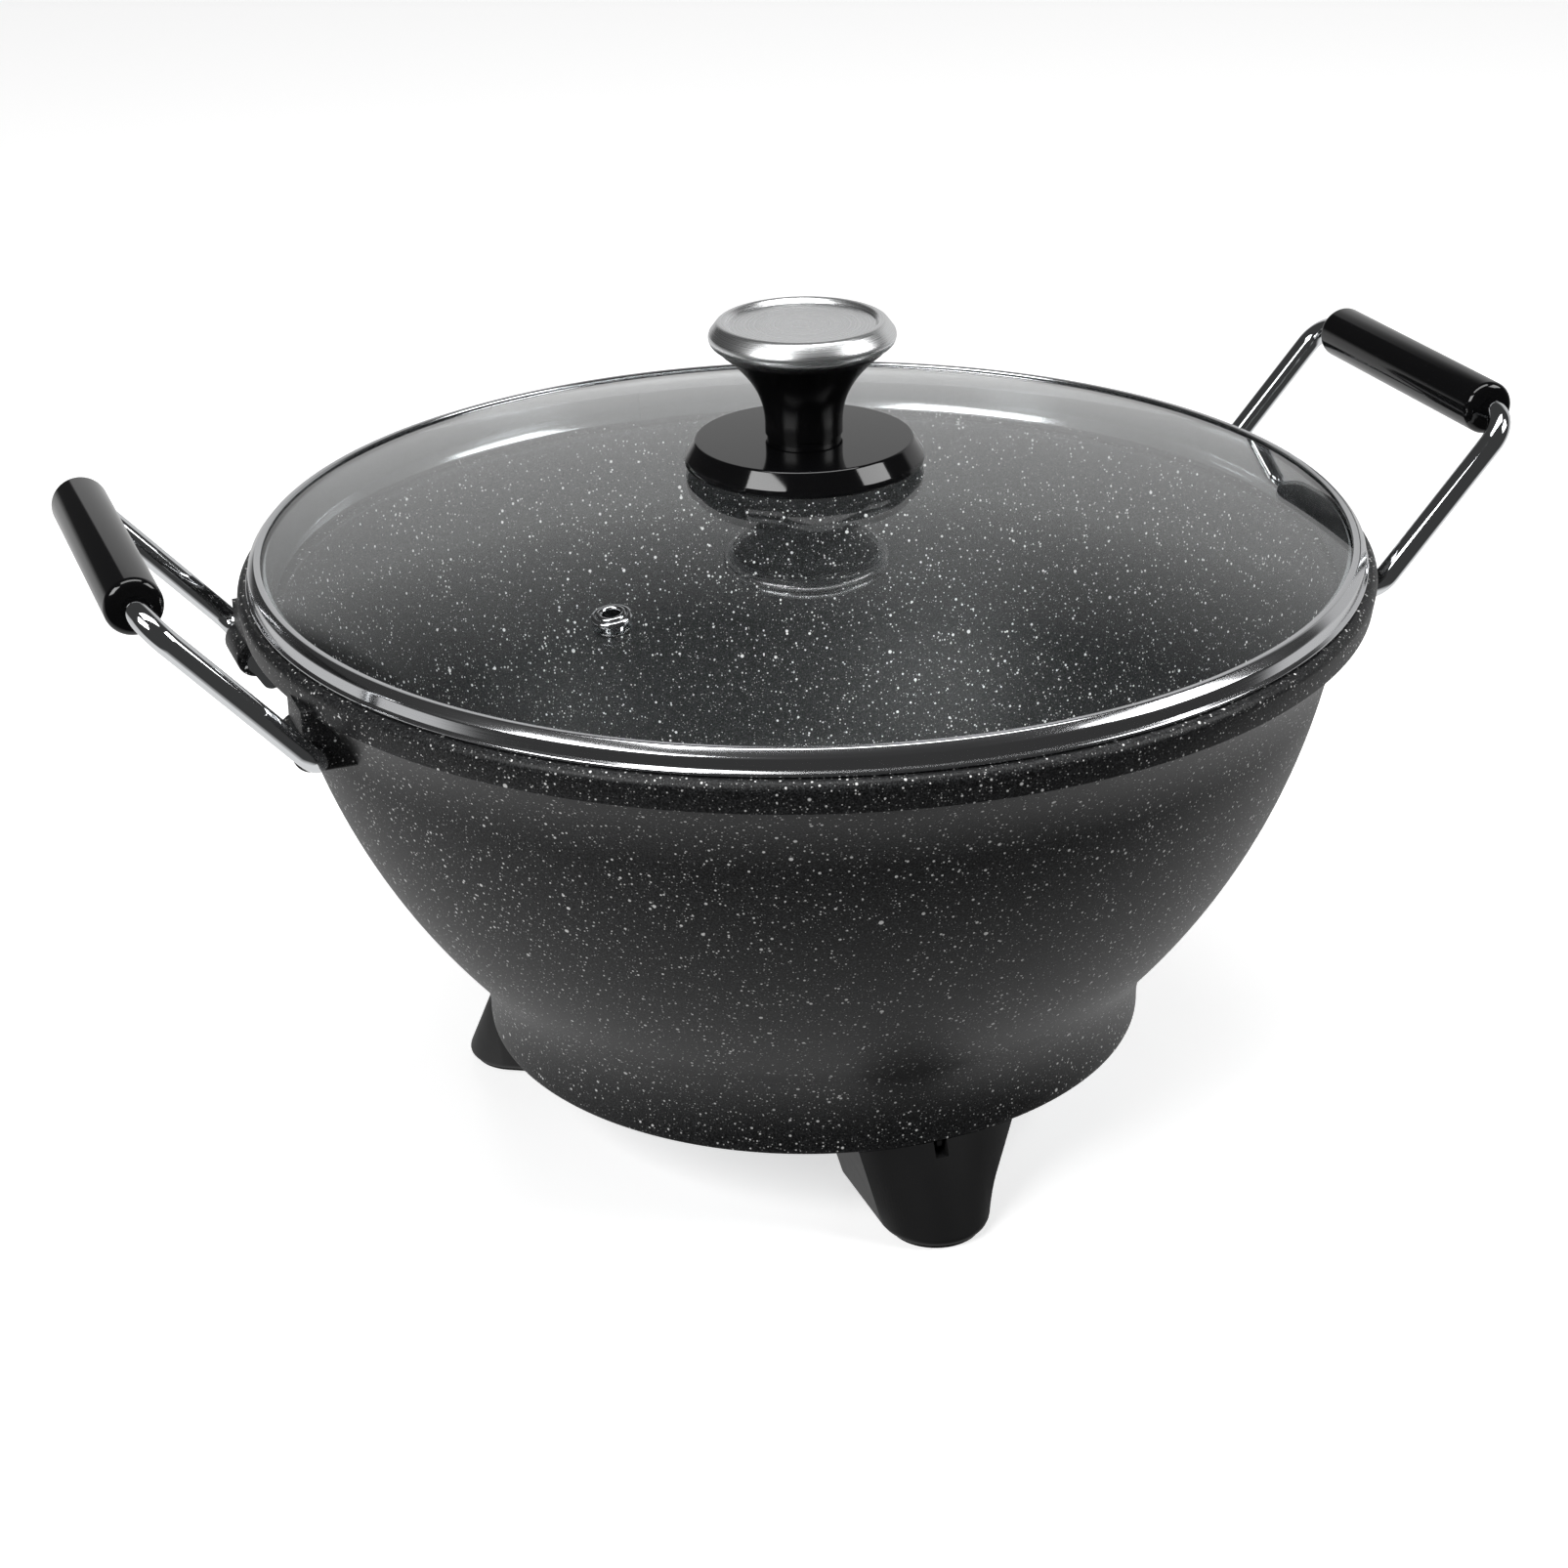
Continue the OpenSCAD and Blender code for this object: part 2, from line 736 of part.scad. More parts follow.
module base_cover() {
    color(steel)
        difference() {
            translate([0, 0, cover_z])
                rotate_extrude($fn = 180)
                    polygon([
                        [0, -cover_dish], [cover_dish_r, -cover_dish], [cover_dish_r + dish_slope_w, 0],
                        [cover_r, 0], [cover_r, cover_t], [cover_dish_r + dish_slope_w, cover_t],
                        [cover_dish_r, cover_t - cover_dish], [0, cover_t - cover_dish]
                    ]);
            translate([-inlet_w / 2 - 4 * fit, inlet_back - lug_t - 4 * fit, foot_h - past])
                cube([inlet_w + 8 * fit, skirt_r, cover_up + cover_t + 2 * past]);
            at_foot_screws()
                cylinder(r = pilot_r + 2 * fit, h = rim_z);
            translate([0, 0, foot_h - cover_dish])
                cylinder(r = pilot_r + 2 * fit, h = foot_h);
            // ring of vent slots in the dished middle
            for (a = [0:vent_step:360 - vent_step])
                rotate([0, 0, a])
                    translate([vent_slot_at, -vent_slot_w / 2, cover_z - cover_dish - past])
                        cube([vent_slot_l, vent_slot_w, cover_t + 2 * past]);
        }
}

module cover_screw() {
    color(steel)
        translate([0, 0, cover_z - cover_dish])
            screw(pilot_r - fit / 2, pilot_depth - screw_gap, cover_head);
}

// ---- inlet ----

module inlet_housing() {
    color(moulded)
        difference() {
            union() {
                translate([0, inlet_back, inlet_z])
                    rotate([-90, 0, 0])
                        linear_extrude(inlet_front - inlet_back)
                            round_rect(inlet_w, inlet_h, inlet_corner_r);
                for (side = [-1, 1])
                    translate([side * tab_at[0], tab_at[1], tab_z])
                        cylinder(r = tab_r, h = tab_t);
                for (side = [0, 1])
                    mirror([side, 0, 0])
                        translate([inlet_w / 2 - inlet_wall, inlet_back, tab_z])
                            cube([tab_at[0] - inlet_w / 2 + inlet_wall, tab_r, tab_t]);
            }
            translate([0, inlet_back + inlet_back_t, inlet_z])
                rotate([-90, 0, 0])
                    linear_extrude(inlet_front)
                        round_rect(inlet_w - 2 * inlet_wall, inlet_h - 2 * inlet_wall, inlet_in_corner_r);
            for (side = [-1, 1])
                translate([side * pin_x, inlet_back - past, inlet_z])
                    y_cylinder(pin_neck_r + fit, inlet_back_t + 2 * past);
            translate([0, inlet_back - past, inlet_z])
                y_cylinder(sleeve_r + fit, inlet_back_t + 2 * past);
            for (side = [-1, 1])
                translate([side * tab_at[0], tab_at[1], tab_z - past])
                    cylinder(r = inlet_pilot_r + 2 * fit, h = tab_t + 2 * past);
        }
}

// One pin with the lug that joins it to the heating ring's end
module inlet_pin(side) {
    color(bright)
        translate([side * pin_x, inlet_back - lug_t, inlet_z]) {
            y_cylinder(pin_neck_r, lug_t + inlet_back_t);
            translate([0, lug_t + inlet_back_t, 0])
                y_cylinder(pin_r, pin_len - pin_taper_l);
            translate([0, lug_t + inlet_back_t + pin_len - pin_taper_l, 0])
                rotate([-90, 0, 0])
                    cylinder(r1 = pin_r, r2 = pin_tip_r, h = pin_taper_l);
            translate([-lug_w / 2, 0, -lug_under])
                cube([lug_w, lug_t - fit, element_z + element_tube_r - inlet_z + lug_under]);
        }
}

module inlet_pin_left() {
    inlet_pin(-1);
}

module inlet_pin_right() {
    inlet_pin(1);
}

module probe_sleeve() {
    color(steel)
        difference() {
            translate([0, sleeve_in + fit, inlet_z])
                y_cylinder(sleeve_r, sleeve_out - sleeve_in - fit);
            translate([0, sleeve_in + sleeve_end_t, inlet_z])
                y_cylinder(sleeve_bore_d / 2, sleeve_out);
        }
}

module inlet_screws() {
    color(steel)
        at_inlet_tabs()
            translate([0, 0, tab_z])
                screw(inlet_pilot_r - fit / 2, tab_t + inlet_screw_in, inlet_head);
}

// ---- feet ----

// Plan of a foot at the ground: a round-ended tongue along +X
module foot_tip_plan(inset) {
    translate([foot_tip_at, 0])
        circle(r = foot_tip_r - inset, $fn = loft_fn);
    translate([foot_in + inset, -foot_tip_r + inset])
        square([foot_tip_at - foot_in - inset, 2 * (foot_tip_r - inset)]);
}

// Plan of a foot under the skirt: as wide, with its outer edge on the skirt's circle
module foot_top_plan(inset) {
    intersection() {
        circle(r = skirt_r - inset, $fn = 180);
        translate([foot_in + inset, -foot_top_hw + inset])
            square([skirt_r, 2 * (foot_top_hw - inset)]);
    }
}

module foot() {
    difference() {
        union() {
            hull() {
                translate([0, 0, pad_proud])
                    linear_extrude(slice)
                        foot_tip_plan(foot_chamfer);
                translate([0, 0, pad_proud + foot_chamfer])
                    linear_extrude(slice)
                        foot_tip_plan(0);
                translate([0, 0, foot_h - slice])
                    linear_extrude(slice)
                        foot_top_plan(0);
            }
            // the part inside the skirt, up to the base cover
            translate([0, 0, foot_h - past])
                linear_extrude(cover_z - foot_h + past)
                    foot_top_plan(skirt_t + 3 * fit);
        }
        // the well that the rubber pad fills, and the hollow above it
        translate([0, 0, pad_proud - past])
            linear_extrude(pad_h - pad_proud + past + fit)
                foot_tip_plan(foot_wall);
        hull() {
            translate([0, 0, pad_h])
                linear_extrude(slice)
                    foot_tip_plan(foot_wall + pad_ledge);
            translate([0, 0, foot_h - foot_plate])
                linear_extrude(slice)
                    foot_top_plan(2 * foot_wall);
        }
        for (side = [-1, 1])
            translate([foot_screw_at[0], side * foot_screw_at[1], 0])
                cylinder(r = pilot_r + 2 * fit, h = foot_h + base_h);
        snap_slot();
    }
    snap_tab();
}

// The snap slot under the skirt in a foot's outer face
module snap_slot() {
    translate([slot_in, -slot_w / 2, foot_h - slot_h])
        cube([foot_out + skirt_r, slot_w, slot_h + past / 2]);
}

// The small catch that hangs in the slot
module snap_tab() {
    translate([slot_in, -catch_w / 2, foot_h - catch_h])
        cube([catch_l, catch_w, catch_h]);
}

module foot_front() {
    color(moulded)
        rotate([0, 0, foot_angles[0]])
            foot();
}

module foot_right() {
    color(moulded)
        rotate([0, 0, foot_angles[1]])
            foot();
}

module foot_left() {
    color(moulded)
        rotate([0, 0, foot_angles[2]])
            foot();
}

module foot_screws() {
    color(steel)
        at_foot_screws()
            translate([0, 0, foot_h - foot_plate])
                screw(pilot_r - fit / 2, cover_z + pilot_depth - screw_gap - foot_h + foot_plate, foot_head);
}

module foot_pads() {
    color(rubber)
        for (a = foot_angles)
            rotate([0, 0, a])
                linear_extrude(pad_h)
                    foot_tip_plan(foot_wall + fit);
}

// ---- handles ----

// Puts its children at a hinge: +X up the resting handle, Y along the hinge
module at_hinge(side) {
    mirror([side < 0 ? 1 : 0, 0, 0])
        translate([hinge_x, 0, hinge_z])
            rotate([0, -handle_angle, 0])
                children();
}

// Half a handle's wire, from the hook's end up to the middle of the grip
module half_rod() {
    translate([0, hook_end, 0])
        y_cylinder(rod_r, leg_y - hook_bend_r - hook_end);
    translate([hook_bend_r, leg_y - hook_bend_r, 0])
        rotate([0, 0, 90])
            rotate_extrude(angle = 90)
                translate([hook_bend_r, 0])
                    circle(r = rod_r);
    translate([hook_bend_r, leg_y, 0])
        rotate([0, 90, 0])
            cylinder(r = rod_r, h = handle_len - elbow_r - hook_bend_r);
    translate([handle_len - elbow_r, leg_y - elbow_r, 0])
        rotate_extrude(angle = 90)
            translate([elbow_r, 0])
                circle(r = rod_r);
}

// The tab at a hook's end that rests on the bowl's wall and keeps the handle raised
module stop_tab() {
    translate([0, hook_end + stop_t, 0])
        rotate([90, 0, 0])
            linear_extrude(stop_t)
                rotate(stop_turn - handle_angle) {
                    translate([0, -stop_r])
                        square([stop_len, 2 * stop_r]);
                    translate([stop_len, 0])
                        circle(r = stop_r);
                }
}

module handle_rod(side) {
    color(bright)
        at_hinge(side) {
            both_ends() {
                half_rod();
                stop_tab();
            }
            translate([handle_len, elbow_r - leg_y, 0])
                y_cylinder(rod_r, 2 * (leg_y - elbow_r));
        }
}

module grip(side) {
    color(glossy)
        at_hinge(side)
            translate([handle_len, 0, 0])
                rotate([90, 0, 0])
                    rotate_extrude()
                        polygon(concat(
                            [[rod_r + fit / 2, -grip_len / 2]],
                            arc([grip_r - grip_edge_r, grip_edge_r - grip_len / 2], grip_edge_r, -90, 0, 6),
                            arc([grip_r - grip_edge_r, grip_len / 2 - grip_edge_r], grip_edge_r, 0, 90, 6),
                            [[rod_r + fit / 2, grip_len / 2]]
                        ));
}

module handle_rod_left() {
    handle_rod(-1);
}

module handle_rod_right() {
    handle_rod(1);
}

module grip_left() {
    grip(-1);
}

module grip_right() {
    grip(1);
}

// ---- lid ----

// Puts its children at the steam vent, with +Z square to the glass and z = 0 on its upper face
module at_vent() {
    translate([0, 0, dome_c_z])
        rotate([0, 0, vent_angle])
            rotate([0, vent_tilt, 0])
                translate([0, 0, dome_r])
                    children();
}

module lid_glass() {
    color(clear)
        difference() {
            rotate_extrude($fn = 180)
                polygon(concat(
                    [for (i = [0:dome_steps], r = glass_r * i / dome_steps) [r, dome_z(r)]],
                    [for (i = [dome_steps:-1:0], r = glass_r * i / dome_steps) [r, dome_under_z(r)]]
                ));
            translate([0, 0, seat_z])
                cylinder(r = glass_hole_r, h = dome_h * 2);
            at_vent()
                translate([0, 0, -glass_t - past])
                    cylinder(r = vent_stem_r + fit, h = glass_t + 2 * past);
        }
}

// Section of the rolled strip: skirt, lip, outer band and the fold over the glass
function rim_section() = concat(
    [
        [lid_skirt_r - strip_t, seat_z - lid_skirt_h],
        [lid_skirt_r, seat_z - lid_skirt_h],
        [lid_skirt_r + skirt_flare / 2, seat_z - lid_skirt_h / 2],
        [lid_skirt_r + skirt_flare, seat_z - skirt_turn_h],
        [mouth_r + seat_in, seat_z]
    ],
    arc([lid_r - lip_edge_r, seat_z + lip_edge_r], lip_edge_r, -90, 60, 5),
    [[band_r, seat_z + lip_h], [band_r - band_lean, band_edge_z]],
    arc_on([band_r - band_lean - band_edge_r, band_edge_z], band_edge_r, 0, 70, 4),
    [
        [fold_r, dome_z(fold_r) + strip_t + fit],
        [fold_r - fold_lip, dome_z(fold_r - fold_lip) + strip_t * fold_round],
        [fold_r - fold_lip * fold_round, dome_z(fold_r - fold_lip * fold_round) + fit],
        [glass_r + fit / 2, dome_z(glass_r) + fit],
        [glass_r + fit / 2, dome_under_z(glass_r) - fit],
        [skirt_top_r, dome_under_z(skirt_top_r) - fit],
        [skirt_top_r - strip_t, seat_z],
        [lid_skirt_r + skirt_flare / 2 - strip_t, seat_z - lid_skirt_h / 2]
    ]
);

module lid_rim() {
    color(bright)
        rotate_extrude($fn = 180)
            polygon(rim_section());
}

// Upper half of the vent: flange, bead and the tube through the glass
module vent_eyelet() {
    color(bright)
        at_vent()
            rotate_extrude()
                polygon(concat(
                    [
                        [vent_hole_r, -glass_t - vent_under], [vent_stem_r, -glass_t - vent_under],
                        [vent_stem_r, vent_sag], [vent_r, vent_sag]
                    ],
                    arc([vent_r - vent_bead_r, vent_sag + vent_bead_h], vent_bead_r, 0, 90, 4),
                    [
                        [vent_hole_r + vent_bead_h + vent_bead_top, vent_sag + vent_mouth_h + vent_bead_h],
                        [vent_hole_r, vent_sag + vent_mouth_h]
                    ]
                ));
}

// Lower half of the vent: the collar that is clenched under the glass
module vent_collar() {
    color(bright)
        at_vent()
            rotate_extrude()
                polygon([
                    [vent_stem_r + fit / 2, -glass_t - fit], [collar_r, -glass_t - fit],
                    [collar_r, -glass_t - fit - collar_edge_t],
                    [vent_stem_r + collar_round, -glass_t - fit - collar_t],
                    [vent_stem_r + fit / 2, -glass_t - fit - collar_t]
                ]);
}

// ---- knob ----

// Rubber ring between the glass and the knob's disc
module knob_seal() {
    color(rubber)
        rotate_extrude()
            polygon([
                [seal_in_r, dome_z(seal_in_r) + fit / 2], [seal_out_r, dome_z(seal_out_r) + fit / 2],
                [seal_out_r, disc_z], [seal_in_r, disc_z]
            ]);
}

module knob_disc() {
    color(glossy)
        rotate_extrude($fn = 180)
            polygon(concat(
                [
                    [disc_bore_r, disc_z], [disc_r - disc_under_in, disc_z],
                    [disc_r - disc_foot_in, disc_z + disc_foot_h], [disc_r, disc_z + disc_edge_h],
                    [disc_r - disc_lean, disc_z + disc_lean_h]
                ],
                arc([disc_r - disc_top_in, disc_top_z - disc_top_edge_r], disc_top_edge_r, 10, 90, 4),
                [[disc_bore_r, disc_top_z]]
            ));
}

// Half-width of the stem at a share t of its flare, from the waist up
function stem_w(t) = stem_waist_d / 2 + (stem_top_d - stem_waist_d) / 2 * pow(t, flare_power);

module knob_stem() {
    color(glossy)
        rotate_extrude()
            polygon(concat(
                [
                    [stem_bore_r, disc_top_z], [stem_waist_d / 2 - groove_in, disc_top_z],
                    [stem_waist_d / 2 - groove_in, disc_top_z + groove_h],
                    [stem_waist_d / 2, disc_top_z + groove_h]
                ],
                [
                    for (i = [0:flare_steps], t = i / flare_steps)
                        [stem_w(t), disc_top_z + groove_h + waist_h + flare_h * t]
                ],
                [
                    [stem_top_d / 2, stem_top_z], [cap_seat_r, stem_top_z],
                    [cap_seat_r, cap_seat_z], [0, cap_seat_z],
                    [0, disc_top_z + screw_len], [stem_bore_r, disc_top_z + screw_len]
                ]
            ));
}

// Brushed-metal cap: a rolled edge round a sunk flat top
module knob_cap() {
    color(steel)
        rotate_extrude($fn = 120)
            polygon(concat(
                [[stem_top_d / 2, stem_top_z], [cap_r - cap_under_in, stem_top_z + cap_under_h]],
                arc([cap_r - cap_side_r, stem_top_z + cap_side_h], cap_side_r, -40, 40, 6),
                arc([cap_r - cap_edge_in, stem_top_z + cap_h - cap_edge_r], cap_edge_r, 50, 115, 5),
                [
                    [cap_r - cap_sunk_in, cap_sunk_z], [0, cap_sunk_z],
                    [0, cap_seat_z + fit], [cap_seat_r + fit, cap_seat_z + fit],
                    [cap_seat_r + fit, stem_top_z]
                ]
            ));
}

module knob_washer() {
    color(steel)
        translate([0, 0, washer_z])
            difference() {
                cylinder(r = washer_r, h = washer_t);
                translate([0, 0, -past])
                    cylinder(r = screw_r + 2 * fit, h = washer_t + 2 * past);
            }
}

module knob_screw() {
    color(steel)
        translate([0, 0, washer_z])
            screw(screw_r, disc_top_z + screw_len - screw_gap - washer_z, knob_head);
}

wok_bowl();
bowl_skirt();
sleeve_seat();
heating_element();
element_clamps();
clamp_screws();
base_cover();
cover_screw();
inlet_housing();
inlet_pin_left();
inlet_pin_right();
probe_sleeve();
inlet_screws();
foot_front();
foot_left();
foot_right();
foot_screws();
foot_pads();
handle_rod_left();
handle_rod_right();
grip_left();
grip_right();
lid_glass();
lid_rim();
vent_eyelet();
vent_collar();
knob_seal();
knob_disc();
knob_stem();
knob_cap();
knob_washer();
knob_screw();
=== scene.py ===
"""Electric wok: the looks of its cast bowl, glass lid, wire handles and moulded feet."""

import json
import math

import bmesh
import bpy
from bpy.props import FloatProperty, FloatVectorProperty, PointerProperty
from mathutils import Matrix, Vector


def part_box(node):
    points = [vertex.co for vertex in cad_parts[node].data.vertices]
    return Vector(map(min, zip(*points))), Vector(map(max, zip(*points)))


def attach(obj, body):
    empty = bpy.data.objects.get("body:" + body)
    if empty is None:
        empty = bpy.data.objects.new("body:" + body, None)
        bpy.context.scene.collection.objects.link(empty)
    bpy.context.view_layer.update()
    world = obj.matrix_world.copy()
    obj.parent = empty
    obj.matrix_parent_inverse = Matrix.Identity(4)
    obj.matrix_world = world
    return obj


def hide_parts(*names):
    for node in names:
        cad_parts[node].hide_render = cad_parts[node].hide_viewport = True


bl_info = {
    "name": "Electric Wok",
    "version": (1, 0, 0),
    "blender": (4, 5, 0),
    "location": "3D View > Sidebar > Wok",
    "description": "Dresses the frame of an electric wok with its castings, glass, wire and finishes",
    "category": "Object",
}

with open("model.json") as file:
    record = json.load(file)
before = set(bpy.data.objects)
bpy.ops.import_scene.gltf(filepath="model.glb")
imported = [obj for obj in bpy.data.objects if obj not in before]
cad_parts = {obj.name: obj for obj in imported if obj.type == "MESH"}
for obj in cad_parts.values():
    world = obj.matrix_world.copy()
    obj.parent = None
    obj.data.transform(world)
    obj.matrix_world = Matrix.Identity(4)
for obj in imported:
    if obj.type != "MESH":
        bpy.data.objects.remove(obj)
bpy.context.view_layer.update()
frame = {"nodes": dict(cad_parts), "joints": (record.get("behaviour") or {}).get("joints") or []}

MM = 0.001
# Steps of a full turn on a large and on a small turned piece
TURN = 256
SMALL_TURN = 96
# Edges that turn by more than this stay crisp
CRISP = math.radians(38)
BOTH = (-1, 1)
# Where each foot stands round the skirt, in degrees from +X
FOOT_ANGLES = {"foot_front": -90, "foot_right": 30, "foot_left": 150}


def linear(code):
    """An sRGB hex colour as linear red, green, blue and alpha."""
    parts = [int(code[i:i + 2], 16) / 255 for i in (0, 2, 4)]
    return tuple(c / 12.92 if c <= 0.04045 else ((c + 0.055) / 1.055) ** 2.4 for c in parts) + (1.0,)


def length(text, value, description=""):
    """A size in metres that the sidebar shows with its unit."""
    return FloatProperty(name=text, description=description or text, default=value, unit="LENGTH", precision=5)


def colour(text, code):
    """A colour that the sidebar shows as a swatch."""
    return FloatVectorProperty(
        name=text, description=text, subtype="COLOR", size=4, min=0, max=1, default=linear(code))


# ---- the sizes and colours that a user would change ----

BOWL_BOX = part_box("wok_bowl")
SKIRT_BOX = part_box("bowl_skirt")
RIM_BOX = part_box("lid_rim")
DISC_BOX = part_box("knob_disc")
STEM_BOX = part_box("knob_stem")
CAP_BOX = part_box("knob_cap")
GLASS_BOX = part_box("lid_glass")


class WokBowlSettings(bpy.types.PropertyGroup):
    """Sizes and colours of the cast bowl."""

    foot_height: length("Height of the skirt's edge", SKIRT_BOX[0].z)
    rim_height: length("Height of the rim", BOWL_BOX[1].z)
    flange_radius: length("Outer radius of the flange", BOWL_BOX[1].y)
    mouth_radius: length("Inner radius of the mouth", BOWL_BOX[1].y - 9 * MM)
    floor_height: length("Height of the inner floor", SKIRT_BOX[0].z + 27 * MM)
    wall: length("Wall of the bowl", 3.5 * MM)
    floor_thickness: length("Thickness of the floor", 5 * MM)
    side_radius: length("Radius of the inner side curve", 219.1 * MM)
    side_rise: length("Height of that curve's centre above the rim", 14.7 * MM)
    floor_radius: length("Radius between side and floor", 40 * MM)
    skirt_radius: length("Outer radius of the skirt", 111 * MM)
    skirt_wall: length("Wall of the skirt", 3.5 * MM)
    ledge_depth: length("Depth of the ledge inside the mouth", 12.5 * MM)
    ledge_width: length("Width of that ledge", 5.1 * MM)
    flange_thickness: length("Thickness of the flange", 9.7 * MM)
    cove_depth: length("Depth below the rim where the cove under the flange starts", 33.7 * MM)
    ear_near: length("Distance of an ear's inner face from the middle", 30 * MM)
    ear_width: length("Width of an ear", 20 * MM)
    ear_wall: length("Wall of an ear round its bore", 2.4 * MM)
    coat: colour("Dark coat of the stone effect", "0f0f10")
    coat_light: colour("Lighter grain of the stone effect", "3a3b3c")
    fleck: colour("Pale flecks", "fbfbfa")


class WokLidSettings(bpy.types.PropertyGroup):
    """Sizes and colours of the lid."""

    rim_radius: length("Outer radius of the steel band", RIM_BOX[1].x)
    dome_radius: length("Radius of the dome's upper face", 699.66 * MM)
    apex_height: length("Height of the dome's top", GLASS_BOX[1].z)
    glass: length("Thickness of the glass", 4 * MM)
    strip: length("Thickness of the steel strip", 0.7 * MM)
    seam_gap: length("Gap at the band's butt seam", 0.35 * MM)
    tint: colour("Tint of the glass", "f4f7f7")
    band: colour("Polished band", "d2d3d5")


class WokKnobSettings(bpy.types.PropertyGroup):
    """Sizes and colours of the knob."""

    disc_radius: length("Radius of the disc", DISC_BOX[1].x)
    waist_radius: length("Radius of the stem's waist", 12.4 * MM)
    stem_radius: length("Radius of the stem's top", STEM_BOX[1].x)
    cap_radius: length("Radius of the cap", CAP_BOX[1].x)
    gloss: colour("Glossy moulding", "070708")
    cap: colour("Brushed cap", "f0f1f2")


class WokHandleSettings(bpy.types.PropertyGroup):
    """Sizes and colours of the two handles."""

    wire_radius: length("Radius of the wire", 3.8 * MM)
    reach: length("Distance from the hinge to the grip", 71.3 * MM)
    half_span: length("Half the distance between a handle's legs", 60.5 * MM)
    elbow: length("Bend beside the grip", 10 * MM)
    hook_bend: length("Bend beside the hinge", 8 * MM)
    hook_end: length("Distance of a hook's end from the middle", 26.2 * MM)
    hinge_height: length("Height of the hinge", 173 * MM)
    hinge_gap: length("Clearance of the wire in its bore", 0.06 * MM)
    tab: length("Thickness of the stop tab on a hook's end", 3.5 * MM)
    tab_radius: length("Radius of the tab's end", 3.4 * MM)
    tab_length: length("Distance of the tab's end from the hinge", 7 * MM)
    tab_angle: FloatProperty(
        name="Angle of the tab", description="Turn of the tab from the handle's legs",
        default=math.radians(-169.56), subtype="ANGLE")
    grip_radius: length("Radius of a grip", 8.799 * MM)
    grip_length: length("Length of a grip", 98 * MM)
    rest_angle: FloatProperty(
        name="Angle of a resting handle", description="Angle above the ground",
        default=math.radians(48.5), subtype="ANGLE")
    chrome: colour("Chrome plating", "e4e6e8")
    grip: colour("Grip", "070708")


class WokFootSettings(bpy.types.PropertyGroup):
    """Sizes and colours of the feet."""

    tip_radius: length("Radius of a foot's round end", 17.4 * MM)
    reach: length("Distance of a foot's outermost point", 124.2 * MM)
    inner: length("Distance of a foot's inner end", 72 * MM)
    half_width: length("Half the width under the skirt", 26.4 * MM)
    proud: length("Height of the foot's lower edge", 1.2 * MM)
    edge: length("Round of the lower edge", 3 * MM)
    slot_width: length("Width of the snap slot", 4.4 * MM)
    slot_height: length("Height of the snap slot", 5 * MM)
    moulding: colour("Matte moulding", "121213")


class WokStageSettings(bpy.types.PropertyGroup):
    """The camera, the lights and the floor."""

    camera_at: FloatVectorProperty(
        name="Camera", description="Place of the camera", subtype="TRANSLATION", unit="LENGTH",
        default=(-0.3396, -0.8973, 0.5544))
    heading: FloatProperty(
        name="Heading", description="Turn of the camera from +Y", default=math.radians(20.21), subtype="ANGLE")
    tilt: FloatProperty(
        name="Tilt", description="How far the camera looks down", default=math.radians(24.845), subtype="ANGLE")
    roll: FloatProperty(
        name="Roll", description="Roll of the camera", default=math.radians(-1.19), subtype="ANGLE")
    lens: FloatProperty(name="Lens", description="Focal length in millimetres", default=72.27)
    floor: colour("Floor", "f2f2f2")
    floor_glow: FloatProperty(name="Glow of the floor", description="Light that the white sweep adds", default=0.58)
    sweep: FloatProperty(name="White sweep", description="Brightness of the sweep behind the object", default=0.6)
    bounce: FloatProperty(name="Bounce", description="Brightness of the floor right below the object", default=0.8)
    upper: FloatProperty(name="Dark room", description="Brightness of the room higher up", default=0.05)


# ---- shapes ----


def arc(centre, radius, start, end, steps):
    """Points of an arc in a plane, its ends included, with the angles in degrees."""
    turn = (end - start) / steps
    return [
        (centre[0] + radius * math.cos(math.radians(start + turn * i)),
         centre[1] + radius * math.sin(math.radians(start + turn * i)))
        for i in range(steps + 1)
    ]


def softened(outline, radius, corners, steps=5, closed=False):
    """Rounds the named corners of an outline, each by an arc of this radius."""
    made = []
    count = len(outline)
    for i, point in enumerate(outline):
        here = Vector(point)
        if i not in corners or (not closed and i in (0, count - 1)):
            made.append(tuple(here))
            continue
        before = Vector(outline[i - 1]) - here
        after = Vector(outline[(i + 1) % count]) - here
        half = before.angle(after) / 2
        cut = min(radius / math.tan(half), before.length * 0.45, after.length * 0.45)
        start = here + before.normalized() * cut
        end = here + after.normalized() * cut
        for k in range(steps + 1):
            t = k / steps
            made.append(tuple(start.lerp(here, t).lerp(here.lerp(end, t), t)))
    return made


def piece(name, bm, body, material):
    """Makes a mesh object of a bmesh, which rides on a body of the frame."""
    for edge in bm.edges:
        edge.smooth = edge.calc_face_angle(0) < CRISP
    for face in bm.faces:
        face.smooth = True
    mesh = bpy.data.meshes.new(name)
    bm.to_mesh(mesh)
    bm.free()
    made = bpy.data.objects.new(name, mesh)
    bpy.context.scene.collection.objects.link(made)
    mesh.materials.append(material)
    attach(made, body)
    return made


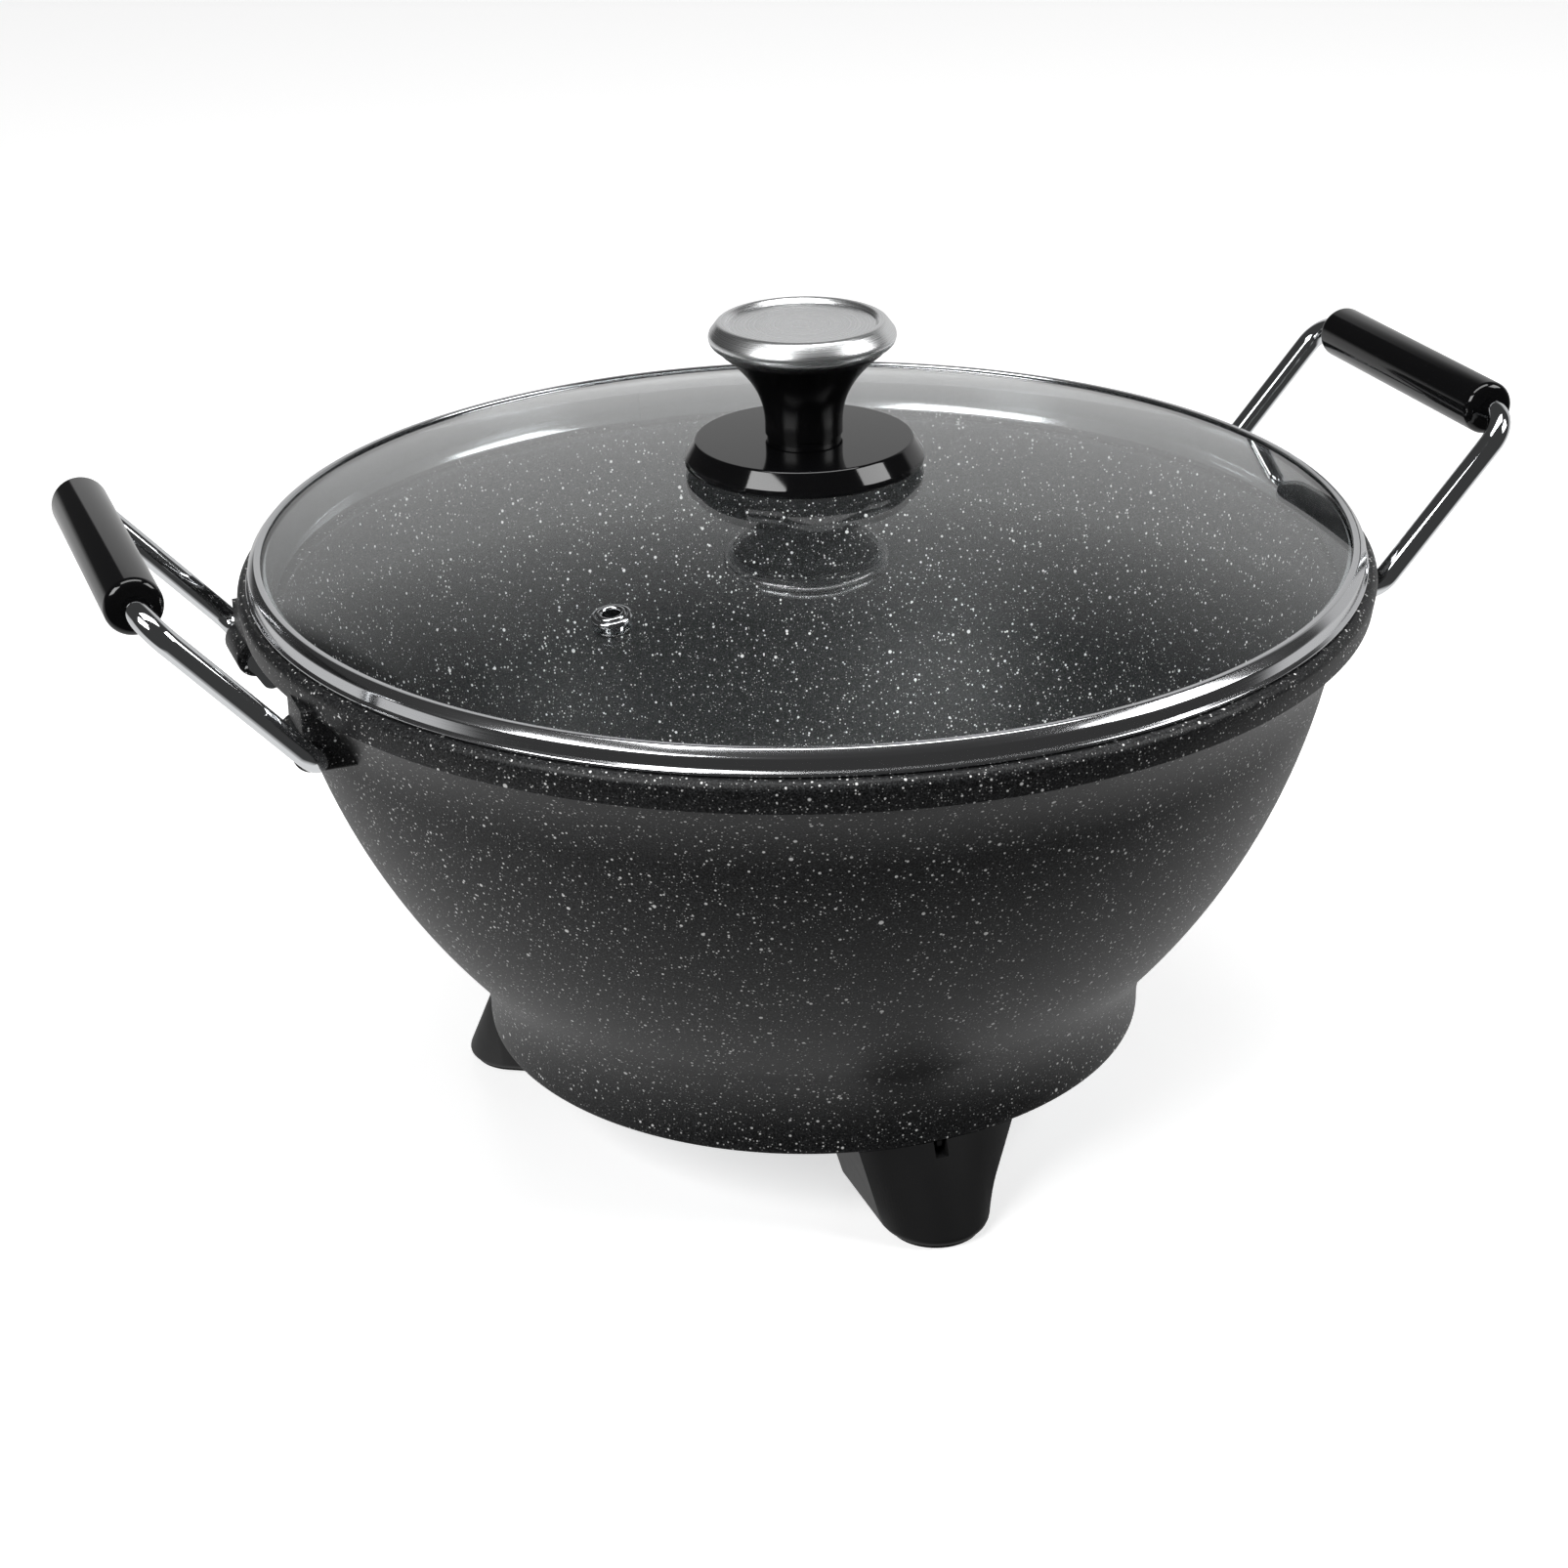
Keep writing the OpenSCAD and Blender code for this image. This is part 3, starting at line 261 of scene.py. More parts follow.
def turned(outline, steps, closed=False, angle=math.tau, place=None):
    """A bmesh turned on the Z axis from an outline of (radius, height) points."""
    bm = bmesh.new()
    verts = [bm.verts.new((x, 0, z)) for x, z in outline]
    edges = [bm.edges.new(pair) for pair in zip(verts, verts[1:])]
    if closed:
        edges.append(bm.edges.new((verts[-1], verts[0])))
    full = abs(angle - math.tau) < 1e-9
    bmesh.ops.spin(
        bm, geom=verts + edges, cent=(0, 0, 0), axis=(0, 0, 1), angle=angle, steps=steps, use_merge=full)
    if not full:
        for _ in range(2):
            bmesh.ops.holes_fill(bm, edges=[e for e in bm.edges if e.is_boundary], sides=0)
    bmesh.ops.remove_doubles(bm, verts=bm.verts, dist=1e-6)
    bmesh.ops.dissolve_degenerate(bm, dist=1e-7, edges=bm.edges)
    bmesh.ops.recalc_face_normals(bm, faces=bm.faces)
    if place is not None:
        bmesh.ops.transform(bm, matrix=place, verts=bm.verts)
    return bm


def block(centre, size, round_by=0.0):
    """A bmesh block with rounded edges."""
    bm = bmesh.new()
    bmesh.ops.create_cube(bm, size=1)
    bmesh.ops.scale(bm, vec=size, verts=bm.verts)
    if round_by:
        bmesh.ops.bevel(
            bm, geom=list(bm.edges), offset=round_by, offset_type="OFFSET", affect="EDGES",
            segments=2, profile=0.5, material=-1, clamp_overlap=True)
    bmesh.ops.translate(bm, vec=centre, verts=bm.verts)
    return bm


def rod(start, end, radius, segments):
    """A bmesh cylinder between two points."""
    a, b = Vector(start), Vector(end)
    bm = bmesh.new()
    bmesh.ops.create_cone(
        bm, cap_ends=True, segments=segments, radius1=radius, radius2=radius, depth=(b - a).length)
    turn = (b - a).to_track_quat("Z", "Y").to_matrix().to_4x4()
    bmesh.ops.transform(bm, matrix=Matrix.Translation((a + b) / 2) @ turn, verts=bm.verts)
    return bm


def joined(shapes):
    """One bmesh of several that don't meet."""
    made = bmesh.new()
    for shape in shapes:
        mesh = bpy.data.meshes.new("part")
        shape.to_mesh(mesh)
        shape.free()
        made.from_mesh(mesh)
        bpy.data.meshes.remove(mesh)
    return made


def carve(target, tool_bm, operation):
    """Applies an exact Boolean of a tool bmesh to a piece's mesh, or to another bmesh."""
    scene = bpy.context.scene
    plain = isinstance(target, bmesh.types.BMesh)
    if plain:
        mesh = bpy.data.meshes.new("blank")
        target.to_mesh(mesh)
        work = bpy.data.objects.new("blank", mesh)
        scene.collection.objects.link(work)
    else:
        work = target
    tool_mesh = bpy.data.meshes.new("tool")
    tool_bm.to_mesh(tool_mesh)
    tool_bm.free()
    tool = bpy.data.objects.new("tool", tool_mesh)
    scene.collection.objects.link(tool)
    modifier = work.modifiers.new("cut", "BOOLEAN")
    modifier.operation = operation
    modifier.solver = "EXACT"
    modifier.object = tool
    made = bpy.data.meshes.new_from_object(work.evaluated_get(bpy.context.evaluated_depsgraph_get()))
    work.modifiers.clear()
    old = work.data
    work.data = made
    bpy.data.objects.remove(tool)
    bpy.data.meshes.remove(tool_mesh)
    bpy.data.meshes.remove(old)
    if plain:
        target.clear()
        target.from_mesh(made)
        bpy.data.objects.remove(work)
        bpy.data.meshes.remove(made)


def crisp(target):
    """Marks the sharp edges of a piece again, after a Boolean."""
    bm = bmesh.new()
    bm.from_mesh(target.data)
    bmesh.ops.remove_doubles(bm, verts=bm.verts, dist=1e-6)
    for edge in bm.edges:
        edge.smooth = edge.calc_face_angle(0) < CRISP
    for face in bm.faces:
        face.smooth = True
    bm.to_mesh(target.data)
    bm.free()


def finish_nodes(names, material):
    """Gives CAD nodes their material, and leaves their meshes alone."""
    for name in names:
        node = frame["nodes"][name]
        slots = node.material_slots
        if not slots:
            node.data.materials.append(material)
        for entry in slots:
            entry.material = material


# ---- materials ----


def new_material(name):
    """A material with only its shader and output, as (material, tree, shader)."""
    material = bpy.data.materials.new(name)
    material.use_nodes = True
    tree = material.node_tree
    tree.nodes.clear()
    shader = tree.nodes.new("ShaderNodeBsdfPrincipled")
    output = tree.nodes.new("ShaderNodeOutputMaterial")
    tree.links.new(shader.outputs[0], output.inputs[0])
    return material, tree, shader


def add(tree, kind, inputs=None, **settings):
    """Adds a node: an input is a value, or a socket that is linked to it."""
    made = tree.nodes.new(kind)
    for key, value in settings.items():
        setattr(made, key, value)
    for key, value in (inputs or {}).items():
        connect(tree, made, key, value)
    return made


def shade_of(colour_or_code):
    """A colour of the settings, or an sRGB hex code, as linear values."""
    return linear(colour_or_code) if isinstance(colour_or_code, str) else tuple(colour_or_code)


def connect(tree, made, key, value):
    """Sets one input of a node, or links it to a socket."""
    if isinstance(value, bpy.types.NodeSocket):
        tree.links.new(value, made.inputs[key])
    else:
        made.inputs[key].default_value = value


def grain_bump(tree, coordinates, grain, height, detail=3.0):
    """Bump from noise whose grain is a real size in metres."""
    noise = add(tree, "ShaderNodeTexNoise", {"Vector": coordinates, "Scale": 1 / grain, "Detail": detail})
    return add(tree, "ShaderNodeBump", {"Height": noise.outputs[0], "Distance": height, "Strength": 1.0})


def flecks(tree, coordinates, cell, radius):
    """Mask of round flecks, one to a cell, each with its own size up to a radius in metres."""
    cells = add(tree, "ShaderNodeTexVoronoi", {"Vector": coordinates, "Scale": 1 / cell, "Randomness": 1.0})
    chance = add(tree, "ShaderNodeSeparateColor", {0: cells.outputs["Color"]})
    size = add(tree, "ShaderNodeMath", {0: chance.outputs[0], 1: 1.3}, operation="POWER")
    reach = add(tree, "ShaderNodeMath", {0: size.outputs[0], 1: radius / cell}, operation="MULTIPLY")
    share = add(tree, "ShaderNodeMath", {0: cells.outputs["Distance"], 1: reach.outputs[0]}, operation="DIVIDE")
    return add(
        tree, "ShaderNodeMapRange",
        {"Value": share.outputs[0], "From Min": 0.75, "From Max": 1.0, "To Min": 1.0, "To Max": 0.0}).outputs[0]


def stone_coating(name, settings):
    """Sprayed stone-effect non-stick coating on cast aluminium.

    The spray leaves a charcoal ground with a fine pale grain and white flecks of many sizes.
    The finest grain is drawn at 0.55 mm, about one and a half times its real size, so that it shows at a distance.
    """
    material, tree, shader = new_material(name)
    # The coating's own index is low, so it is almost without gloss
    shader.inputs["IOR"].default_value = 1.32
    place = add(tree, "ShaderNodeTexCoord").outputs["Object"]
    cloud = add(tree, "ShaderNodeTexNoise", {"Vector": place, "Scale": 1 / (16 * MM), "Detail": 2.0})
    grain = add(
        tree, "ShaderNodeTexNoise", {"Vector": place, "Scale": 1 / (0.55 * MM), "Detail": 1.0, "Roughness": 0.6})
    spread = add(
        tree, "ShaderNodeMapRange",
        {"Value": grain.outputs[0], "From Min": 0.42, "From Max": 0.72, "To Min": 0.0, "To Max": 1.0})
    base = add(
        tree, "ShaderNodeMix",
        {"Factor": spread.outputs[0], "A": shade_of(settings.coat), "B": shade_of(settings.coat_light)},
        data_type="RGBA")
    # Finest to largest: the size of a cell, the largest radius in it, and how white it is
    layers = (
        (0.95 * MM, 0.3 * MM, 0.3),
        (1.55 * MM, 0.42 * MM, 0.9),
        (2.6 * MM, 0.58 * MM, 1.0),
        (6.5 * MM, 0.85 * MM, 1.0),
    )
    mask = None
    for cell, radius, white in layers:
        spots = flecks(tree, place, cell, radius)
        layer = add(tree, "ShaderNodeMath", {0: spots, 1: white}, operation="MULTIPLY").outputs[0]
        mask = layer if mask is None else add(
            tree, "ShaderNodeMath", {0: mask, 1: layer}, operation="MAXIMUM").outputs[0]
    # The spray lies thicker in some places than in others
    density = add(
        tree, "ShaderNodeMapRange",
        {"Value": cloud.outputs[0], "From Min": 0.3, "From Max": 0.7, "To Min": 0.72, "To Max": 1.0})
    sprayed = add(tree, "ShaderNodeMath", {0: mask, 1: density.outputs[0]}, operation="MULTIPLY")
    painted = add(
        tree, "ShaderNodeMix",
        {"Factor": sprayed.outputs[0], "A": base.outputs["Result"], "B": shade_of(settings.fleck)},
        data_type="RGBA")
    connect(tree, shader, "Base Color", painted.outputs["Result"])
    dull = add(
        tree, "ShaderNodeMapRange", {"Value": grain.outputs[0], "To Min": 0.34, "To Max": 0.5})
    connect(tree, shader, "Roughness", dull.outputs[0])
    connect(tree, shader, "Normal", grain_bump(tree, place, 0.8 * MM, 0.04 * MM).outputs[0])
    return material


def metal(name, shade, roughness, grain, height, turned_lines=False):
    """Bare or plated metal, with its fine surface as bump.

    Turned lines follow the turn about Z, as on polished strip and brushed caps.
    """
    material, tree, shader = new_material(name)
    shader.inputs["Base Color"].default_value = shade_of(shade)
    shader.inputs["Metallic"].default_value = 1.0
    place = add(tree, "ShaderNodeTexCoord").outputs["Object"]
    if turned_lines:
        parts = add(tree, "ShaderNodeSeparateXYZ", {0: place})
        flat = add(tree, "ShaderNodeCombineXYZ", {0: parts.outputs[0], 1: parts.outputs[1]})
        radius = add(tree, "ShaderNodeVectorMath", {0: flat.outputs[0]}, operation="LENGTH")
        place = add(tree, "ShaderNodeCombineXYZ", {0: radius.outputs["Value"], 1: parts.outputs[2]}).outputs[0]
    noise = add(tree, "ShaderNodeTexNoise", {"Vector": place, "Scale": 1 / grain, "Detail": 3.0})
    dull = add(
        tree, "ShaderNodeMapRange",
        {"Value": noise.outputs[0], "From Min": 0.3, "From Max": 0.7,
         "To Min": roughness * 0.8, "To Max": roughness * 1.25})
    connect(tree, shader, "Roughness", dull.outputs[0])
    bump = add(tree, "ShaderNodeBump", {"Height": noise.outputs[0], "Distance": height, "Strength": 1.0})
    connect(tree, shader, "Normal", bump.outputs[0])
    return material


def moulded(name, shade, roughness, grain, height):
    """Moulded thermoset or rubber: one colour, and the mould's own fine surface."""
    material, tree, shader = new_material(name)
    place = add(tree, "ShaderNodeTexCoord").outputs["Object"]
    cloud = add(tree, "ShaderNodeTexNoise", {"Vector": place, "Scale": 1 / (14 * MM), "Detail": 2.0})
    darker = shade_of(shade)
    lighter = tuple(min(1.0, c * 1.25) for c in darker[:3]) + (1.0,)
    mixed = add(
        tree, "ShaderNodeMix", {"Factor": cloud.outputs[0], "A": darker, "B": lighter}, data_type="RGBA")
    connect(tree, shader, "Base Color", mixed.outputs["Result"])
    dull = add(
        tree, "ShaderNodeMapRange",
        {"Value": cloud.outputs[0], "To Min": roughness * 0.9, "To Max": roughness * 1.12})
    connect(tree, shader, "Roughness", dull.outputs[0])
    connect(tree, shader, "Normal", grain_bump(tree, place, grain, height).outputs[0])
    return material


def tempered_glass(settings):
    """Clear tempered float glass: smooth, faintly grey, with a slow wave from bending."""
    material, tree, shader = new_material("tempered_glass")
    shader.inputs["Base Color"].default_value = shade_of(settings.tint)
    shader.inputs["Transmission Weight"].default_value = 1.0
    shader.inputs["Roughness"].default_value = 0.0
    shader.inputs["IOR"].default_value = 1.5
    place = add(tree, "ShaderNodeTexCoord").outputs["Object"]
    connect(tree, shader, "Normal", grain_bump(tree, place, 90 * MM, 0.02 * MM, detail=0.0).outputs[0])
    return material


# ---- the cast bowl ----


def side_centre(s):
    """Centre of the inner side curve, as (radius, height)."""
    height = s.rim_height + s.side_rise
    drop = s.side_rise + s.ledge_depth
    return s.mouth_radius - s.ledge_width - math.sqrt(s.side_radius ** 2 - drop ** 2), height


def bowl_outline(s):
    """Outline of the casting: inside from the floor's middle to the rim, then outside and under."""
    rim = s.rim_height
    ledge_z = rim - s.ledge_depth
    side_x, centre_z = side_centre(s)
    outer = s.side_radius + s.wall
    fillet_z = s.floor_height + s.floor_radius
    fillet_x = side_x + math.sqrt((s.side_radius - s.floor_radius) ** 2 - (centre_z - fillet_z) ** 2)
    tangent = math.degrees(math.atan2(fillet_z - centre_z, fillet_x - side_x))
    ledge_at = math.degrees(math.asin((ledge_z - centre_z) / s.side_radius))
    cove_from_z = rim - s.cove_depth
    cove_at = math.asin((cove_from_z - centre_z) / outer)
    out = Vector((math.cos(cove_at), math.sin(cove_at)))
    start = Vector((side_x, centre_z)) + outer * out
    under_z = rim - s.flange_thickness
    end = Vector((s.flange_radius - 1.7 * MM, under_z - 0.7 * MM))
    chord = start - end
    cove_r = -chord.dot(chord) / (2 * out.dot(chord))
    cove = start + cove_r * out
    cove_end = math.degrees(math.atan2(end.y - cove.y, end.x - cove.x)) % 360
    lip_z = s.foot_height + 3.1 * MM
    to_lip = Vector((s.skirt_radius - side_x, lip_z - centre_z))
    sweep_r = (to_lip.dot(to_lip) - outer ** 2) / (2 * (outer - to_lip.x))
    sweep = (s.skirt_radius + sweep_r, lip_z)
    skirt_at = math.degrees(math.atan2(lip_z - centre_z, sweep[0] - side_x))
    inner_skirt = s.skirt_radius - s.skirt_wall
    under = s.floor_radius + s.floor_thickness
    under_end = -math.degrees(math.acos((inner_skirt - fillet_x) / under))
    edge = 2.8 * MM
    inside = [(0, s.floor_height)] + arc((fillet_x, fillet_z), s.floor_radius, -90, tangent, 20)
    inside += arc((side_x, centre_z), s.side_radius, tangent, ledge_at, 56)[1:]
    mouth = softened(
        [inside[-1], (s.mouth_radius, ledge_z), (s.mouth_radius, rim), (s.flange_radius - edge, rim)],
        0.8 * MM, (1, 2))[1:-1]
    flange = arc((s.flange_radius - edge, rim - edge), edge, 90, 0, 12)
    flange += softened(
        [flange[-1], (s.flange_radius - 1 * MM, under_z), tuple(end), (end.x - 1.5 * MM, end.y - 2 * MM)],
        0.25 * MM, (1,))[1:-2]
    outside = arc(cove, cove_r, cove_end, 180 + math.degrees(cove_at), 24)
    outside += arc((side_x, centre_z), outer, math.degrees(cove_at), skirt_at, 56)[1:]
    outside += arc(sweep, sweep_r, 180 + skirt_at, 180, 24)[1:]
    skirt = softened(
        [outside[-1], (s.skirt_radius, s.foot_height), (inner_skirt, s.foot_height),
         (inner_skirt, s.foot_height + 12 * MM)],
        0.7 * MM, (1, 2))[1:-1]
    underside = arc((fillet_x, fillet_z), under, under_end, -90, 12)
    underside.append((0, s.floor_height - s.floor_thickness))
    whole = inside + mouth + flange + outside + skirt + underside
    return softened(whole, 0.8 * MM, (len(inside) - 1,))


class WOK_OT_bowl(bpy.types.Operator):
    """Cast bowl with its flange, skirt and hinge ears"""

    bl_idname = "wok.bowl"
    bl_label = "Cast Bowl"

    def execute(self, context):
        s = context.scene.wok_bowl
        h = context.scene.wok_handle
        coating = stone_coating("stone_effect_coating", s)
        made = piece(
            "bowl_casting", turned(bowl_outline(s), TURN), "base", coating)
        hinge_x = hinge_place()
        bore = h.wire_radius + h.hinge_gap
        ends = [(side, end) for side in BOTH for end in BOTH]
        ears = joined([ear(s, h, side, end, hinge_x, bore + s.ear_wall) for side, end in ends])
        carve(ears, turned(core_outline(s), TURN), "DIFFERENCE")
        carve(made, joined([ears, *bosses(s)]), "UNION")
        past = 1 * MM
        bores = [
            rod((side * hinge_x, end * (s.ear_near - past), h.hinge_height),
                (side * hinge_x, end * (s.ear_near + s.ear_width + past), h.hinge_height), bore, 64)
            for side, end in ends
        ]
        # The skirt is open at the back for the socket, with 0.1 mm of space round it
        low, high = s.foot_height - 10.1 * MM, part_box("inlet_housing")[1].z + 0.1 * MM
        notch = block((0, 0.12, (low + high) / 2), (66.2 * MM, 60 * MM, high - low))
        carve(made, joined(bores + [notch]), "DIFFERENCE")
        crisp(made)
        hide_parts("wok_bowl", "bowl_skirt")
        return {"FINISHED"}


def side_radius_at(s, z):
    """Radius of the inner side curve at a height."""
    side_x, centre_z = side_centre(s)
    return side_x + math.sqrt(s.side_radius ** 2 - (centre_z - z) ** 2)


def core_outline(s):
    """Outline of the space inside the bowl, grown a little into its wall: the ears stop there."""
    grown = 1.2 * MM
    step_z = s.rim_height - s.ledge_depth - grown
    low = s.rim_height - 60 * MM
    heights = [low + (step_z - low) * i / 12 for i in range(13)]
    wall = [(side_radius_at(s, z) + grown, z) for z in heights]
    top = s.rim_height + 10 * MM
    return [(0, low)] + wall + [(s.mouth_radius + grown, step_z), (s.mouth_radius + grown, top), (0, top)]


def bosses(s):
    """The cast bosses under the floor, each with its screw's pilot hole."""
    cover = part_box("base_cover")
    floor = s.floor_height - s.floor_thickness
    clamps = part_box("element_clamps")
    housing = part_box("inlet_housing")
    recess = 3 * MM

    def at(angle, radius, aside=0.0):
        return Matrix.Rotation(math.radians(angle), 3, "Z") @ Vector((radius, aside, 0))

    # Each: its place, its radius, its pilot hole's radius and its lower end
    places = [
        (at(angle, 92 * MM, side * 12 * MM), 5.5 * MM, 2 * MM, cover[1].z)
        for angle in FOOT_ANGLES.values() for side in BOTH
    ]
    places += [(at(angle, 62 * MM), 5 * MM, 1.6 * MM, clamps[1].z) for angle in (-30, -90, -150)]
    places += [
        (Vector((side * 38.5 * MM, 90 * MM, 0)), 4.5 * MM, 1.5 * MM, housing[1].z - recess) for side in BOTH
    ]
    places.append((Vector((0, 0, 0)), 5.5 * MM, 2 * MM, cover[1].z - recess))
    made = []
    for place, radius, pilot, low in places:
        top, end = floor + 2.5 * MM, min(low + 13 * MM, floor + 1 * MM)
        outline = [(0, top), (radius, top), (radius, low), (pilot, low), (pilot, end), (0, end)]
        made.append(turned(outline, 32, place=Matrix.Translation(place)))
    return made


def hinge_place():
    """Distance of a hinge from the middle, read off the frame's joint."""
    return next(j for j in frame["joints"] if j["name"] == "handle_right_swing")["pos_m"][0]


def ear(s, h, side, end, hinge_x, ear_r):
    """One ear: a finger cast under the flange, with a round end about the hinge."""
    root, face = hinge_x - 20 * MM, hinge_x + 2.8 * MM
    top = s.rim_height - s.flange_thickness + 2 * MM
    outline = [(root, top), (root, h.hinge_height - ear_r)]
    outline += arc((hinge_x, h.hinge_height), ear_r, -90, 63, 16)
    outline.append((face, top))
    bm = bmesh.new()
    verts = [bm.verts.new((side * x, end * s.ear_near, z)) for x, z in outline]
    flat = bm.faces.new(verts)
    grown = bmesh.ops.extrude_face_region(bm, geom=[flat])
    moved = [v for v in grown["geom"] if isinstance(v, bmesh.types.BMVert)]
    bmesh.ops.translate(bm, vec=(0, end * s.ear_width, 0), verts=moved)
    bmesh.ops.recalc_face_normals(bm, faces=bm.faces)
    caps = [f for f in bm.faces if abs(f.normal.y) > 0.9]
    rims = list({e for f in caps for e in f.edges})
    bmesh.ops.bevel(
        bm, geom=rims, offset=0.9 * MM, offset_type="OFFSET", affect="EDGES", segments=3,
        profile=0.5, material=-1, clamp_overlap=True)
    return bm


# ---- the parts under the bowl ----


class WOK_OT_base(bpy.types.Operator):
    """Finishes of the heating ring, the cover and the fasteners under the bowl"""

    bl_idname = "wok.base"
    bl_label = "Heating and Cover"

    def execute(self, context):
        # An oxidised alloy sheath: dull, brown-grey
        finish_nodes(["heating_element"], metal("oxidised_heater_sheath", "6a625b", 0.42, 1.5 * MM, 0.02 * MM))
        # Pressed sheet with a zinc coat: soft, slightly mottled
        finish_nodes(["base_cover", "element_clamps"], metal("zinc_coated_sheet", "9a9c9e", 0.36, 6 * MM, 0.02 * MM))
        # Aluminium as it left the mould: dull light grey and grainy
        finish_nodes(["sleeve_seat"], metal("bare_casting", "7f8082", 0.5, 1.2 * MM, 0.04 * MM))
        # Zinc plate on small screws: bright grey with a soft shine
        finish_nodes(
            ["clamp_screws", "cover_screw", "foot_screws", "inlet_screws"],
            metal("plated_screws", "a9abac", 0.28, 0.8 * MM, 0.01 * MM))
        return {"FINISHED"}


class WOK_OT_inlet(bpy.types.Operator):
    """Finishes of the rear socket, its pins and the probe sleeve"""

    bl_idname = "wok.inlet"
    bl_label = "Rear Socket"

    def execute(self, context):
        # Heat-proof thermoset with a dull mould surface
        finish_nodes(["inlet_housing"], moulded("heatproof_thermoset", "171718", 0.5, 0.4 * MM, 0.02 * MM))
        # Nickel plate on the contact pins: bright and faintly warm
        finish_nodes(
            ["inlet_pin_left", "inlet_pin_right"], metal("nickel_plated_pin", "cbc8c0", 0.14, 0.8 * MM, 0.005 * MM))
        # Drawn stainless tube: bright, with a slightly blurred shine
        finish_nodes(["probe_sleeve"], metal("drawn_steel_tube", "b4b4b4", 0.24, 0.6 * MM, 0.01 * MM))
        return {"FINISHED"}


# ---- the feet ----


def foot_loop(bm, points, z):
    """A closed loop of edges through points at one height."""
    verts = [bm.verts.new((x, y, z)) for x, y in points]
    return verts, [bm.edges.new((verts[i - 1], verts[i])) for i in range(len(verts))]


def foot_outlines(f, skirt_radius):
    """Plans of a foot at the ground and under the skirt, with the same number of points."""
    tip_at = f.reach - f.tip_radius
    side = 12
    tip = [(f.inner + (tip_at - f.inner) * i / side, -f.tip_radius) for i in range(side)]
    tip += arc((tip_at, 0), f.tip_radius, -90, 90, 48)
    tip += [(tip_at - (tip_at - f.inner) * i / side, f.tip_radius) for i in range(1, side + 1)]
    corner = math.degrees(math.asin(f.half_width / skirt_radius))
    edge_x = skirt_radius * math.cos(math.radians(corner))
    top = [(f.inner + (edge_x - f.inner) * i / side, -f.half_width) for i in range(side)]
    top += arc((0, 0), skirt_radius, -corner, corner, 48)
    top += [(edge_x - (edge_x - f.inner) * i / side, f.half_width) for i in range(1, side + 1)]
    return tip, top


class WOK_OT_feet(bpy.types.Operator):
    """Three moulded feet and their rubber pads"""

    bl_idname = "wok.feet"
    bl_label = "Feet"

    def execute(self, context):
        f = context.scene.wok_foot
        s = context.scene.wok_bowl
        # Thermoset with a fine spark-eroded mould surface: almost no gloss
        finish = moulded("matte_foot_moulding", f.moulding, 0.58, 0.45 * MM, 0.03 * MM)
        tip, top = foot_outlines(f, s.skirt_radius - 0.15 * MM)
        for node, angle in FOOT_ANGLES.items():
            bm = bmesh.new()
            low, low_edges = foot_loop(bm, tip, f.proud)
            high, high_edges = foot_loop(bm, top, s.foot_height)
            bmesh.ops.bridge_loops(bm, edges=low_edges + high_edges)
            bm.faces.new(low)
            bm.faces.new(high)
            bmesh.ops.recalc_face_normals(bm, faces=bm.faces)
            rim = [e for e in bm.edges if all(abs(v.co.z - f.proud) < 1e-6 for v in e.verts)]
            bmesh.ops.bevel(
                bm, geom=rim, offset=f.edge, offset_type="OFFSET", affect="EDGES", segments=5,
                profile=0.5, material=-1, clamp_overlap=True)
            turn = Matrix.Rotation(math.radians(angle), 4, "Z")
            bmesh.ops.transform(bm, matrix=turn, verts=bm.verts)
            made = piece(node + "_moulding", bm, "base", finish)
            slot = block(
                (s.skirt_radius + 6 * MM, 0, s.foot_height - f.slot_height / 2 + 1 * MM),
                (20 * MM, f.slot_width, f.slot_height + 2 * MM))
            bmesh.ops.transform(slot, matrix=turn, verts=slot.verts)
            carve(made, slot, "DIFFERENCE")
            crisp(made)
            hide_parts(node)
            catch = block(
                (s.skirt_radius - 2.3 * MM, 0, s.foot_height - 1.2 * MM),
                (3.4 * MM, 1.8 * MM, 2.2 * MM), 0.2 * MM)
            bmesh.ops.transform(catch, matrix=turn, verts=catch.verts)
            piece(node + "_catch", catch, "base", finish)
        # Soft rubber under each foot: dull and dark
        finish_nodes(["foot_pads"], moulded("pad_rubber", "111111", 0.85, 0.5 * MM, 0.03 * MM))
        return {"FINISHED"}


# ---- the handles ----


def sweep_end(bm, edges, centre, axis, angle, steps):
    """Spins a loop round a bend, and gives the loop it ends on."""
    made = bmesh.ops.spin(bm, geom=edges, cent=centre, axis=axis, angle=angle, steps=steps)
    return [g for g in made["geom_last"] if isinstance(g, bmesh.types.BMEdge)]


def run_end(bm, edges, along):
    """Extrudes a loop straight, and gives the loop it ends on."""
    made = bmesh.ops.extrude_edge_only(bm, edges=edges)
    bmesh.ops.translate(bm, vec=along, verts=[g for g in made["geom"] if isinstance(g, bmesh.types.BMVert)])
    return [g for g in made["geom"] if isinstance(g, bmesh.types.BMEdge) and g.is_boundary]


